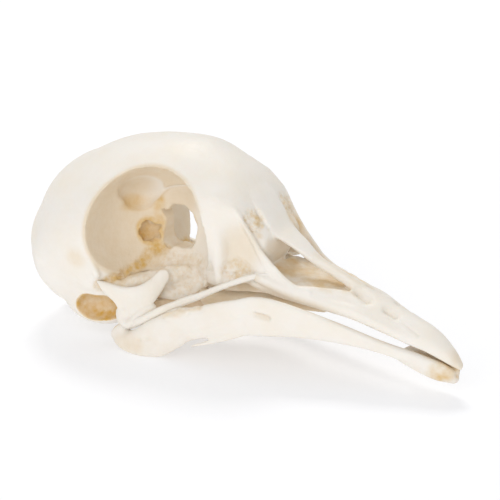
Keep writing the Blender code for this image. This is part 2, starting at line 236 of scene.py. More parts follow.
@dataclass(frozen=True)
class Blade(Bar):
    """A bar whose stations are x, y, upper edge, lower edge and half thickness."""

    roundness: float = 2.6

    def surface(self, side: Side = Side.LEFT, grow: float = 0.0) -> Surface:
        """Skin the blade through the same bar formula, from its two edges."""
        rows = np.asarray(self.stations, dtype=float)
        middle = (rows[:, 2] + rows[:, 3]) / 2
        half_height = (rows[:, 2] - rows[:, 3]) / 2
        bars = np.column_stack([rows[:, 0], rows[:, 1], middle, rows[:, 4], half_height])
        shape = (self.steps, self.sides, self.roundness, self.upward)
        return Bar(tuple(map(tuple, bars)), *shape).surface(side, grow)


@dataclass(frozen=True)
class Egg:
    """A closed egg with its own radius to the back, front, sides, top and bottom.

    At height angle h and turn a, the direction is (sin h cos a, sin h sin a, cos h). Its y is raised to
    `flatness`, so that a small value gives flat inner walls, then each part is multiplied by its radius.
    `wobble` moves the points in and out by that share of the radius, from smooth noise in cubes of
    `lump` millimetres.
    """

    centre: Point
    back: float
    front: float
    half_width: float
    top: float
    bottom: float
    flatness: float = 1.0
    wobble: float = 0.0
    lump: float = 0.9
    rings: int = 48
    sides: int = 72

    def surface(self, side: Side = Side.LEFT, grow: float = 0.0) -> Surface:
        """Skin the egg.

        Args:
            side: The side of the head.
            grow: Millimetres added to every radius.

        Returns:
            The closed surface.
        """
        height = np.linspace(0.0, np.pi, self.rings + 2)[:, None]
        turn = np.arange(self.sides)[None, :] * 2 * np.pi / self.sides
        x = np.sin(height) * np.cos(turn)
        y = power(np.sin(height) * np.sin(turn), self.flatness)
        z = np.cos(height) * np.ones_like(turn)
        grid = np.stack([x * (np.where(x > 0, self.front, self.back) + grow),
                         y * (self.half_width + grow),
                         z * (np.where(z > 0, self.top, self.bottom) + grow)], axis=-1)
        centre = np.array(self.centre)
        if self.wobble:
            noise = value_noise((grid + centre).reshape(-1, 3), self.lump, Seed.EGG).reshape(grid.shape[:2])
            grid = grid * (1 + self.wobble * noise[..., None])
        grid = (grid + centre) * (1.0, side.value, 1.0)
        return closed_grid(grid[1:-1], grid[0, 0], grid[-1, 0])

    def lined(self, points: np.ndarray, soft: float = 0.06) -> np.ndarray:
        """Find the points that line this hollow on either side of the head.

        Args:
            points: Places in working millimetres.
            soft: Share of the radius over which the edge fades.

        Returns:
            1 on and inside the egg and 0 beyond it. The distance is the egg's own: its y is raised
            to 1 / flatness.
        """
        place = np.column_stack([points[:, 0], np.abs(points[:, 1]), points[:, 2]]) - self.centre
        x = place[:, 0] / np.where(place[:, 0] > 0, self.front, self.back)
        y = (np.abs(place[:, 1]) / self.half_width) ** (1 / self.flatness)
        z = place[:, 2] / np.where(place[:, 2] > 0, self.top, self.bottom)
        return 1 - fade(np.sqrt(x * x + y * y + z * z), 1 + 0.3 * soft, 1 + 1.3 * soft)


def ball(centre: Point, radii: Point, wobble: float = 0.0, lump: float = 0.9) -> Egg:
    """Make an egg whose opposite radii are equal."""
    return Egg(centre, radii[0], radii[0], radii[1], radii[2], radii[2], wobble=wobble, lump=lump)


@dataclass(frozen=True)
class Vault:
    """A domed form through stations of x, crown, half width, height of the side and foot.

    At station s and angle a, the point is (x, half width * cos a, side + rise * sin a), where the rise
    is crown - side above the side and side - foot below it.
    """

    stations: Rows
    steps: int = 72
    sides: int = 96
    cap_share: float = 0.3

    def surface(self, side: Side = Side.LEFT, grow: float = 0.0) -> Surface:
        """Skin the vault, closed by a pole at each end."""
        rows = smooth_rows(self.stations, self.steps)
        x, crown, half_width, level, foot = (column[:, None] for column in rows.T)
        turn = ((np.arange(self.sides) + 0.5) * 2 * np.pi / self.sides)[None, :]
        rise = np.where(np.sin(turn) > 0, crown - level, level - foot)
        rings = np.stack([x + 0 * turn, half_width * np.cos(turn), level + rise * np.sin(turn)], axis=-1)
        cap = half_width[[0, -1], 0] * self.cap_share
        middle = (crown + foot)[:, 0] / 2
        poles = [np.array((x[0, 0] - cap[0], 0.0, middle[0])),
                 np.array((x[-1, 0] + cap[1], 0.0, middle[-1]))]
        return closed_grid(rings, *poles)


@dataclass(frozen=True)
class Block:
    """A block whose one face holds a point and looks against `outward`, as a thick plane to cut with."""

    face_point: Point
    outward: Point
    size: float = 30.0

    def surface(self, side: Side = Side.LEFT, grow: float = 0.0) -> Surface:
        """Skin the block as a closed grid of two square rings."""
        outward = unit(np.asarray(self.outward, dtype=float))
        across = np.array((0.0, 1.0, 0.0))
        above = np.cross(outward, across)
        corners = np.array(((-1, -1), (1, -1), (1, 1), (-1, 1)), dtype=float) * self.size
        square = corners[:, :1] * across + corners[:, 1:] * above
        near = np.asarray(self.face_point) + square
        rings = np.stack([near, near + self.size * outward])
        return closed_grid(rings, near.mean(0), near.mean(0) + self.size * outward)


@dataclass(frozen=True)
class Sheet:
    """A thin plate between two edges, through stations of both edges' x, y, z and the half thickness.

    A point at s along the edges and turn a is middle(s) + cos(a)^edge_power * half span(s)
    + sin(a)^face_power * thickness(s) * facing(s), the facing being square to the span and to the
    middle line.
    """

    stations: Rows
    steps: int = 60
    sides: int = 48
    edge_power: float = 0.85
    face_power: float = 0.7

    def surface(self, side: Side = Side.LEFT, grow: float = 0.0) -> Surface:
        """Skin the sheet and close it with a pole at each end."""
        rows = smooth_rows(self.stations, self.steps)
        turned = np.array((1.0, side.value, 1.0))
        upper, lower, thickness = rows[:, :3] * turned, rows[:, 3:6] * turned, rows[:, 6:7] + grow
        middle = (upper + lower) / 2
        span = (upper - lower) / 2
        span = span + unit(span) * grow
        along = np.gradient(middle, axis=0)
        facing = unit(np.cross(span, along))
        turn = (np.arange(self.sides) * 2 * np.pi / self.sides)[None, :, None]
        rings = (middle[:, None, :] + power(np.cos(turn), self.edge_power) * span[:, None, :]
                 + power(np.sin(turn), self.face_power) * thickness[:, None, :] * facing[:, None, :])
        ends = unit(along[[0, -1]]) * thickness[[0, -1]]
        return closed_grid(rings, middle[0] - ends[0], middle[-1] + ends[1])


@dataclass(frozen=True)
class Pane:
    """A thick pane across the head, whose outline in x and z is a smooth closed curve with a ragged edge.

    A point at turn a and depth d is centre + share(d) * (outline(a) - centre) * (1 + ragged * noise), where
    share falls from 1 to 0 at the pane's two faces.
    """

    outline: Rows
    y_from: float
    y_to: float
    ragged: float = 0.0
    lump: float = 0.8
    sides: int = 96

    def surface(self, side: Side = Side.LEFT, grow: float = 0.0) -> Surface:
        """Skin the pane as rings from its first face to its second."""
        loop = smooth_rows((*self.outline, self.outline[0]), self.sides + 1)[:-1]
        centre = loop.mean(0)
        reach = loop - centre
        places = np.column_stack([loop[:, 0], np.zeros(self.sides), loop[:, 1]])
        reach *= (1 + self.ragged * layered_noise(places, self.lump, Seed.PANE))[:, None]
        share = np.array((0.4, 0.8, 1.0, 1.0, 1.0, 1.0, 0.8, 0.4))[:, None]
        depth = np.linspace(self.y_from, self.y_to, 6)[[0, 0, 0, 1, 4, 5, 5, 5]][:, None] * side.value
        rings = np.stack([centre[0] + share * reach[:, 0], depth + 0 * reach[:, 0],
                          centre[1] + share * reach[:, 1]], axis=-1)
        poles = [np.array((centre[0], y * side.value, centre[1])) for y in (self.y_from, self.y_to)]
        return closed_grid(rings, *poles)


Form = Union[Bar, Egg, Vault, Block, Sheet, Pane]


def both(form: Form, grow: float = 0.0) -> list[Surface]:
    """Skin a form on both sides of the head."""
    return [form.surface(side, grow) for side in Side]


# Noise


def value_noise(points: np.ndarray, cell: float, seed: int) -> np.ndarray:
    """Smooth noise from -1 to 1 at each point.

    Args:
        points: Places in millimetres.
        cell: Edge of the noise's cubes in millimetres.
        seed: Picks one of many patterns.

    Returns:
        The values at the eight corners of each point's cube, blended along each axis by 3t^2 - 2t^3.
        A corner's value comes from mixing the bits of its whole coordinates.
    """
    place = points / cell
    base = np.floor(place).astype(np.int64)
    t = place - base
    t = t * t * (3 - 2 * t)
    total = np.zeros(len(points))
    for corner in np.ndindex(2, 2, 2):
        key = base + corner
        mixed = np.bitwise_xor.reduce(key * CORNER_MIX, axis=1) ^ seed * SEED_MIX
        mixed = (mixed ^ (mixed >> 13)) * BIT_MIX
        mixed = (mixed ^ (mixed >> 16)) & 0xFFFF
        share = np.prod(np.where(corner, t, 1 - t), axis=1)
        total += share * (mixed / 32767.5 - 1)
    return total


def layered_noise(points: np.ndarray, cell: float, seed: int, layers: int = 3) -> np.ndarray:
    """Add noise of ever finer cells: each layer has half the cell and half the height of the last."""
    total = np.zeros(len(points))
    for layer in range(layers):
        total += value_noise(points, cell / 2**layer, seed + layer) / 2**layer
    return total


def fade(values: np.ndarray, low: float, high: float) -> np.ndarray:
    """Go smoothly from 0 at `low` to 1 at `high` by 3t^2 - 2t^3."""
    t = np.clip((values - low) / (high - low), 0.0, 1.0)
    return t * t * (3 - 2 * t)


# Objects and skins


def numbered(surfaces: Sequence[Surface], first: int = 0) -> tuple[np.ndarray, list[list[int]]]:
    """Stack surfaces into one list of points and one of faces.

    Args:
        surfaces: Closed surfaces, which may overlap.
        first: The number of the first point.

    Returns:
        The points, and the faces as lists of point numbers.
    """
    faces: list[list[int]] = []
    start = first
    for item in surfaces:
        for rows in item.faces:
            faces += (rows + start).tolist()
        start += len(item.points)
    return np.vstack([item.points for item in surfaces]), faces


def add_object(name: str, surfaces: Sequence[Surface]) -> bpy.types.Object:
    """Put surfaces, which may overlap, into one new mesh object in the scene."""
    points, faces = numbered(surfaces)
    mesh = bpy.data.meshes.new(name)
    mesh.from_pydata(points.tolist(), [], faces)
    made = bpy.data.objects.new(name, mesh)
    bpy.context.scene.collection.objects.link(made)
    return made


def apply_modifiers(item: bpy.types.Object) -> None:
    """Replace an object's mesh by what its modifiers make of it."""
    bpy.context.view_layer.update()
    old = item.data
    fresh = bpy.data.meshes.new_from_object(item.evaluated_get(bpy.context.evaluated_depsgraph_get()))
    item.modifiers.clear()
    item.data = fresh
    bpy.data.meshes.remove(old)


def fuse(item: bpy.types.Object, voxel: float) -> None:
    """Join an object's overlapping surfaces into one even skin of faces `voxel` millimetres wide."""
    step = item.modifiers.new("fuse", "REMESH")
    step.mode = "VOXEL"
    step.voxel_size = voxel
    step.adaptivity = 0.0
    apply_modifiers(item)


def thin_out(item: bpy.types.Object, triangles: int) -> None:
    """Merge the flattest faces of an object until about so many triangles are left."""
    item.data.calc_loop_triangles()
    share = triangles / len(item.data.loop_triangles)
    if share < 1:
        step = item.modifiers.new("thin", "DECIMATE")
        step.ratio = share
        step.use_collapse_triangulate = True
        apply_modifiers(item)


def hollow(item: bpy.types.Object, cutters: Sequence[Surface], voxel: float) -> None:
    """Cut surfaces from an object.

    Args:
        item: The object that loses material.
        cutters: Closed surfaces, which may overlap. They are fused first.
        voxel: Face size of the fused cutters in millimetres.
    """
    tool = add_object("tool", cutters)
    fuse(tool, voxel)
    step = item.modifiers.new("hollow", "BOOLEAN")
    step.operation = "DIFFERENCE"
    step.solver = "MANIFOLD"
    step.object = tool
    apply_modifiers(item)
    bpy.data.objects.remove(tool, do_unlink=True)


def add_to(item: bpy.types.Object, surfaces: Sequence[Surface]) -> None:
    """Add surfaces to an object's mesh, to be fused with it later."""
    old = item.data
    points = np.empty((len(old.vertices), 3))
    old.vertices.foreach_get("co", points.reshape(-1))
    faces = [list(face.vertices) for face in old.polygons]
    more_points, more_faces = numbered(surfaces, len(points))
    mesh = bpy.data.meshes.new(old.name)
    mesh.from_pydata(np.vstack([points, more_points]).tolist(), [], faces + more_faces)
    item.data = mesh


@dataclass(frozen=True)
class Groove:
    """A groove along a path on both sides of the head, in millimetres. A negative depth makes a ridge."""

    path: Rows
    width: float
    depth: float


@dataclass(frozen=True)
class Spot:
    """An ellipsoid on either side of the head. Its share fades over `soft` of its radius."""

    centre: Point
    radii: Point
    soft: float = 0.3
    share: float = 1.0


@dataclass(frozen=True)
class Mottle:
    """How unevenly a stain lies: level + coarse * noise + fine * finer noise, kept from 0 to top."""

    level: float
    coarse: float = 0.0
    fine: float = 0.0
    top: float = 1.0

    def over(self, noise: np.ndarray, finer: Union[float, np.ndarray] = 0.0) -> np.ndarray:
        """Work out the share of stain at each point."""
        return np.clip(self.level + self.coarse * noise + self.fine * finer, 0.0, self.top)


class Skin:
    """A bone's fine mesh while it is worked: points, edges and triangles as arrays."""

    def __init__(self, item: bpy.types.Object) -> None:
        """Read the object's mesh."""
        mesh = item.data
        mesh.calc_loop_triangles()
        self.item = item
        self.points = np.empty((len(mesh.vertices), 3))
        mesh.vertices.foreach_get("co", self.points.reshape(-1))
        self.edges = np.empty((len(mesh.edges), 2), dtype=int)
        mesh.edges.foreach_get("vertices", self.edges.reshape(-1))
        self.triangles = np.empty((len(mesh.loop_triangles), 3), dtype=int)
        mesh.loop_triangles.foreach_get("vertices", self.triangles.reshape(-1))
        self.degree = np.bincount(self.edges.reshape(-1), minlength=len(self.points))[:, None]
        self.masks: dict[str, np.ndarray] = {}

    def average(self, values: np.ndarray) -> np.ndarray:
        """Give each point the mean of its neighbours' values."""
        table = values.reshape(len(values), -1)
        first, second = self.edges.T
        total = np.stack([np.bincount(first, column[second], len(table))
                          + np.bincount(second, column[first], len(table)) for column in table.T], axis=1)
        return (total / np.maximum(self.degree, 1)).reshape(values.shape)

    def softened(self, values: np.ndarray, rounds: int) -> np.ndarray:
        """Average values over a few rounds of neighbours, so that a yes or no becomes a soft share."""
        soft = values.astype(float)
        for _ in range(rounds):
            soft = self.average(soft)
        return soft

    def normals(self) -> np.ndarray:
        """Give each point the mean direction of its faces, weighted by their areas."""
        a, b, c = (self.points[self.triangles[:, k]] for k in range(3))
        face = np.cross(b - a, c - a)
        total = np.zeros_like(self.points)
        for axis in range(3):
            for corner in range(3):
                total[:, axis] += np.bincount(self.triangles[:, corner], face[:, axis], len(self.points))
        return unit(total)

    def relax(self, rounds: int, weight: Union[float, np.ndarray] = 1.0, keep: bool = True) -> None:
        """Smooth the skin.

        Args:
            rounds: How many times each point moves half way to its neighbours' mean.
            weight: Share of the move, for all points or for each.
            keep: Whether a step outwards follows each step inwards, so that thin bars stay thick.
        """
        share = np.asarray(weight, dtype=float).reshape(-1, 1)
        for _ in range(rounds):
            self.points += STEP_IN * share * (self.average(self.points) - self.points)
            if keep:
                self.points -= STEP_OUT * share * (self.average(self.points) - self.points)

    def push(self, height: np.ndarray) -> None:
        """Move each point outwards along its normal by its height in millimetres."""
        self.points += self.normals() * height[:, None]

    def reach(self, path: Rows) -> np.ndarray:
        """Distance of each point from a line through the path's points, in millimetres."""
        table = smooth_rows(path, 4 * len(path))
        nearest = np.full(len(self.points), np.inf)
        for start, end in zip(table[:-1], table[1:]):
            along = end - start
            t = np.clip((self.points - start) @ along / max(along @ along, 1e-12), 0.0, 1.0)
            nearest = np.minimum(nearest, np.linalg.norm(self.points - start - t[:, None] * along, axis=1))
        return nearest

    def along(self, path: Rows, low: float, high: float,
              wander: Union[float, np.ndarray] = 0.0) -> np.ndarray:
        """Find the points near a path or its mirror image.

        Args:
            path: The path's points.
            low: Distance in millimetres up to which a point counts in full.
            high: Distance from which it doesn't count.
            wander: Millimetres added to every distance, to make the edge uneven.

        Returns:
            The share of each point, from 0 to 1.
        """
        mirrored = tuple((x, -y, z) for x, y, z in path)
        return 1 - fade(np.minimum(self.reach(path), self.reach(mirrored)) + wander, low, high)

    def press(self, groove: Groove) -> None:
        """Press a groove: depth * exp(-(distance / width)^2) on each side of the head."""
        for side in Side:
            turned = tuple((x, y * side.value, z) for x, y, z in groove.path)
            self.push(-groove.depth * np.exp(-((self.reach(turned) / groove.width) ** 2)))

    def within(self, spot: Spot) -> np.ndarray:
        """The spot's share at each point: all of it well inside and 0 well outside."""
        place = np.column_stack([self.points[:, 0], np.abs(self.points[:, 1]), self.points[:, 2]])
        distance = np.linalg.norm((place - spot.centre) / spot.radii, axis=1)
        return spot.share * (1 - fade(distance, 1 - spot.soft, 1 + spot.soft))

    def hollowness(self, rounds: int) -> np.ndarray:
        """How far each point lies below its surroundings, over a patch set by the rounds."""
        mean = self.softened(self.points, rounds)
        return self.softened(np.einsum("ij,ij->i", mean - self.points, self.normals()), 4)

    def write(self) -> bpy.types.Object:
        """Put the points back into the object's mesh, still in working millimetres."""
        self.item.data.vertices.foreach_set("co", self.points.reshape(-1))
        self.item.data.update()
        return self.item

    def finish(self, name: str, nodes: Sequence[str]) -> bpy.types.Object:
        """Write the skin back in metres at the frame's origin and hand the bone to the frame.

        Args:
            name: The piece's name.
            nodes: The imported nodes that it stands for.

        Returns:
            The finished piece.
        """
        mesh = self.item.data
        placed = (self.points - (ORIGIN_X, 0.0, 0.0)) * MM
        mesh.vertices.foreach_set("co", placed.reshape(-1))
        for mask, values in self.masks.items():
            layer = mesh.attributes.new(mask, "FLOAT", "POINT")
            layer.data.foreach_set("value", np.clip(values, 0.0, 1.0).astype(np.float32))
        mesh.update()
        mesh.shade_smooth()
        self.item.name = name
        mesh.name = name
        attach(self.item, BODY)
        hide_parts(*nodes)
        log.info("%s: %d triangles for %s", name, len(self.triangles), ", ".join(nodes))
        return self.item


# Materials


class Value:
    """A shader socket that takes part in Python expressions, each operator adding a Math node."""

    def __init__(self, shader: "ShaderBuilder", socket: bpy.types.NodeSocket) -> None:
        """Wrap a socket of a material."""
        self.shader = shader
        self.socket = socket

    def _math(self, operation: str, other: "Number") -> "Value":
        """Add one Math node that takes this value and the other."""
        return self.shader.node("ShaderNodeMath", {"operation": operation}, {0: self, 1: other})

    def __add__(self, other: "Number") -> "Value":
        """Self plus other."""
        return self._math("ADD", other)

    def __mul__(self, other: "Number") -> "Value":
        """Self times other."""
        return self._math("MULTIPLY", other)

    __radd__ = __add__
    __rmul__ = __mul__


Number = Union[float, Value]


@dataclass(frozen=True)
class Grain:
    """One scale of texture: noise of so many lumps in a metre, stretched from low to high."""

    per_metre: float
    detail: float
    roughness: float
    low: float
    high: float


class ShaderBuilder:
    """Adds nodes to one material."""

    def __init__(self, name: str) -> None:
        """Start a material with its Principled shader."""
        self.material = bpy.data.materials.new(name)
        self.material.use_nodes = True
        self.tree = self.material.node_tree
        self.principled = self.tree.nodes["Principled BSDF"]

    def node(self, kind: str, settings: dict[str, object], inputs: dict[Union[int, str], object],
             output: Union[int, str] = 0) -> Value:
        """Add a node.

        Args:
            kind: The node's type.
            settings: Properties to set first.
            inputs: A value or a link for each socket by name or number.
            output: The output to use.

        Returns:
            The chosen output, wrapped.
        """
        made = self.tree.nodes.new(kind)
        for key, setting in settings.items():
            setattr(made, key, setting)
        for key, value in inputs.items():
            self._set(made.inputs[key], value)
        return Value(self, made.outputs[output])

    def _set(self, socket: bpy.types.NodeSocket, value: object) -> None:
        """Give a socket a value or a link."""
        if isinstance(value, Value):
            self.tree.links.new(value.socket, socket)
        else:
            socket.default_value = value

    def grain(self, grain: Grain) -> Value:
        """Read a grain's noise on Object coordinates, as 0 at its low value to 1 at its high value."""
        place = self.node("ShaderNodeTexCoord", {}, {}, "Object")
        noise = self.node("ShaderNodeTexNoise", {}, {"Vector": place, "Scale": grain.per_metre,
                                                     "Detail": grain.detail,
                                                     "Roughness": grain.roughness}, "Fac")
        ramp = self.node("ShaderNodeValToRGB", {}, {"Fac": noise})
        black, white = ramp.socket.node.color_ramp.elements
        black.position = grain.low
        white.position = grain.high
        return ramp

    def mask(self, name: str) -> Value:
        """Read one of the piece's own masks."""
        return self.node("ShaderNodeAttribute", {"attribute_name": name}, {}, "Fac")

    def blend(self, share: Number, first: object, second: object) -> Value:
        """Mix two colours by a share."""
        return self.node("ShaderNodeMix", {"data_type": "RGBA"}, {0: share, 6: first, 7: second}, 2)

    def feed(self, socket: str, value: object) -> None:
        """Give the Principled shader a value or a link."""
        self._set(self.principled.inputs[socket], value)


def colour(red: float, green: float, blue: float) -> Colour:
    """Turn screen values from 0 to 255 into a linear colour, by the sRGB formula."""
    linear = [((c / 255 + 0.055) / 1.055) ** 2.4 if c > 10 else c / 3294 for c in (red, green, blue)]
    return (*linear, 1.0)


@dataclass(frozen=True)
class BoneFinish:
    """Clean dry bone: ivory with faint mottling and ochre stains, with painted shade from masks: beige and
    brown in hollows, recesses and undersides.
    """

    name: str = "bone_ivory"
    ivory: Colour = colour(242, 237, 229)
    cream: Colour = colour(238, 227, 207)
    beige: Colour = colour(228, 211, 184)
    ochre: Colour = colour(213, 169, 66)
    shade_brown: Colour = colour(172, 112, 56)
    cloud: Grain = Grain(260.0, 3.0, 0.55, 0.35, 0.75)
    speck: Grain = Grain(2300.0, 5.0, 0.65, 0.42, 0.72)
    patch: Grain = Grain(900.0, 4.0, 0.6, 0.3, 0.7)
    roughness: float = 0.44
    specular: float = 0.42
    subsurface: float = 0.12
    subsurface_radius: Point = (0.8, 0.6, 0.45)
    bump_strength: float = 0.35
    bump_distance: float = 0.12 * MM

    def material(self) -> bpy.types.Material:
        """Build the finish.

        Returns:
            A material that reads the masks warmth, stain, crease and sponge.
        """
        build = ShaderBuilder(self.name)
        cloud, speck, patch = (build.grain(grain) for grain in (self.cloud, self.speck, self.patch))
        sponge = build.mask("sponge")
        stain = build.mask("stain")
        base = build.blend(cloud * 0.45, self.ivory, self.cream)
        # Beige by the warmth mask: painted shade in hollows, recesses, undersides and the sockets, and some
        # bones' own tone.
        base = build.blend(build.mask("warmth_and_shade") * (0.75 + 0.25 * patch), base, self.beige)
        # Ochre by the stain mask: mostly real stains, with painted shade in small hollows, slots and on the
        # jaw's inner sides.
        base = build.blend(stain * (0.45 + 0.55 * patch), base, self.ochre)
        # Brown by the crease mask is painted shade: in the deepest creases, in the jaw's slit and on the
        # pterygoids.
        base = build.blend(build.mask("crease") * (0.5 + 0.5 * speck), base, self.shade_brown)
        base = build.blend(sponge * (0.04 + 0.45 * speck), base, self.ochre)
        build.feed("Base Color", base)
        build.feed("Roughness", self.roughness + 0.16 * speck + 0.12 * stain)
        build.feed("Specular IOR Level", self.specular)
        build.feed("Subsurface Weight", self.subsurface)
        build.feed("Subsurface Radius", self.subsurface_radius)
        build.feed("Subsurface Scale", MM)
        height = speck * (0.35 + 0.9 * sponge) + patch * 0.3
        bump = {"Strength": self.bump_strength, "Distance": self.bump_distance, "Height": height}
        build.feed("Normal", build.node("ShaderNodeBump", {}, bump, "Normal"))
        return build.material


# Bones

BELOW_FLOOR = Block((0.0, 0.0, 0.0), (0.0, 0.0, -1.0))


@dataclass(frozen=True)
class Quadrate:
    """The bone that carries the lower jaw: a smooth blade with its spur into the eye socket."""

    body: Sheet = Sheet((
        (-6.62, 8.1, 7.03, -6.35, 8.2, 6.67, 0.3), (-5.22, 8.0, 6.98, -5.59, 8.2, 5.82, 0.4),
        (-4.37, 7.9, 6.88, -4.34, 8.15, 5.0, 0.45), (-3.55, 7.6, 6.76, -3.9, 8.0, 3.7, 0.5),
        (-2.92, 7.4, 6.81, -3.6, 7.95, 2.5, 0.5), (-2.34, 6.95, 6.9, -2.0, 7.9, 2.7, 0.5),
        (-1.89, 6.5, 7.13, -1.21, 7.5, 4.5, 0.45), (-1.34, 6.0, 7.6, -0.41, 6.8, 5.3, 0.4),
        (-0.92, 5.5, 8.14, -0.1, 5.9, 6.2, 0.35), (-0.56, 5.1, 8.5, 0.1, 5.2, 7.0, 0.3),
        (-0.1, 4.75, 8.5, 0.2, 4.75, 7.5, 0.25)), steps=90)
    foot: Bar = Bar((
        (-3.5, 7.9, 4.2, 0.5, 0.9), (-3.2, 7.9, 3.2, 0.75, 0.9), (-2.4, 8.0, 3.1, 0.75, 0.6),
        (-1.3, 7.5, 4.1, 0.5, 0.75), (-0.4, 6.95, 4.95, 0.45, 0.5)), sides=36)
    joint: Spot = Spot((-1.4, 7.9, 4.3), (1.8, 1.2, 1.4), 0.4)
    voxel: float = 0.08
    ripple: float = 0.02

    def surfaces(self, side: Side, grow: float = 0.0) -> list[Surface]:
        """Skin the blade and the foot."""
        return [self.body.surface(side, grow), self.foot.surface(side, grow)]

    def build(self, side: Side) -> bpy.types.Object:
        """Make the bone of one side."""
        item = add_object("quadrate", self.surfaces(side))
        fuse(item, self.voxel)
        skin = Skin(item)
        skin.relax(20)
        skin.relax(90, skin.within(self.joint))
        skin.push(self.ripple * layered_noise(skin.points, 1.3, Seed.QUADRATE))
        dress(skin)
        return skin.finish("quadrate_bone_" + side.word, ["quadrate_" + side.word])


@dataclass(frozen=True)
class SlenderBone:
    """A bone that is one slender bar, stained evenly, with even painted shade of brown if given, and a
    shallow groove along its outer side if any.
    """

    node: str
    bar: Bar
    groove_depth: float = 0.0
    stain: float = 0.0
    shade_brown: float = 0.0
    voxel: float = 0.07
    groove_width: float = 0.14
    ripple: float = 0.02

    def build(self, side: Side) -> bpy.types.Object:
        """Make the bone of one side."""
        item = add_object(self.node, [self.bar.surface(side)])
        fuse(item, self.voxel)
        skin = Skin(item)
        skin.relax(4)
        if self.groove_depth:
            outer = tuple((x, y + w, z) for x, y, z, w, _ in self.bar.stations)
            skin.press(Groove(outer, self.groove_width, self.groove_depth))
        skin.push(self.ripple * layered_noise(skin.points, 0.8, Seed.SLENDER))
        # The brown share is painted shade; on bones that lie in the skull's shade, part of the stain is
        # painted shade too.
        even = {"warmth_and_shade": min(2 * self.stain, 1.0), "stain": self.stain, "crease": self.shade_brown}
        skin.masks = {mask: np.full(len(skin.points), share) for mask, share in even.items()}
        dress(skin)
        return skin.finish(f"{self.node}_bone_{side.word}", [f"{self.node}_{side.word}"])


def dress(skin: Skin) -> None:
    """Add painted shade to a skin's masks by hollowness: beige in wide hollows, brown in the deepest
    creases, and ochre in small hollows that is partly stain.
    """
    wide = skin.hollowness(30)
    fine = skin.hollowness(6)
    noise = layered_noise(skin.points, 1.6, Seed.DRESS)
    # Painted shade: beige in wide hollows and brown in the deepest creases; the ochre in small hollows is
    # partly the bone's own stain and partly painted shade.
    shares = {"warmth_and_shade": 0.6 * fade(wide + 0.05 * noise, 0.05, 0.4),
              "stain": 0.4 * fade(fine + 0.01 * noise, 0.04, 0.16),
              "crease": 0.3 * fade(fine, 0.1, 0.22),
              "sponge": np.zeros(len(skin.points))}
    for mask, share in shares.items():
        skin.masks[mask] = np.maximum(skin.masks.get(mask, 0.0), share)


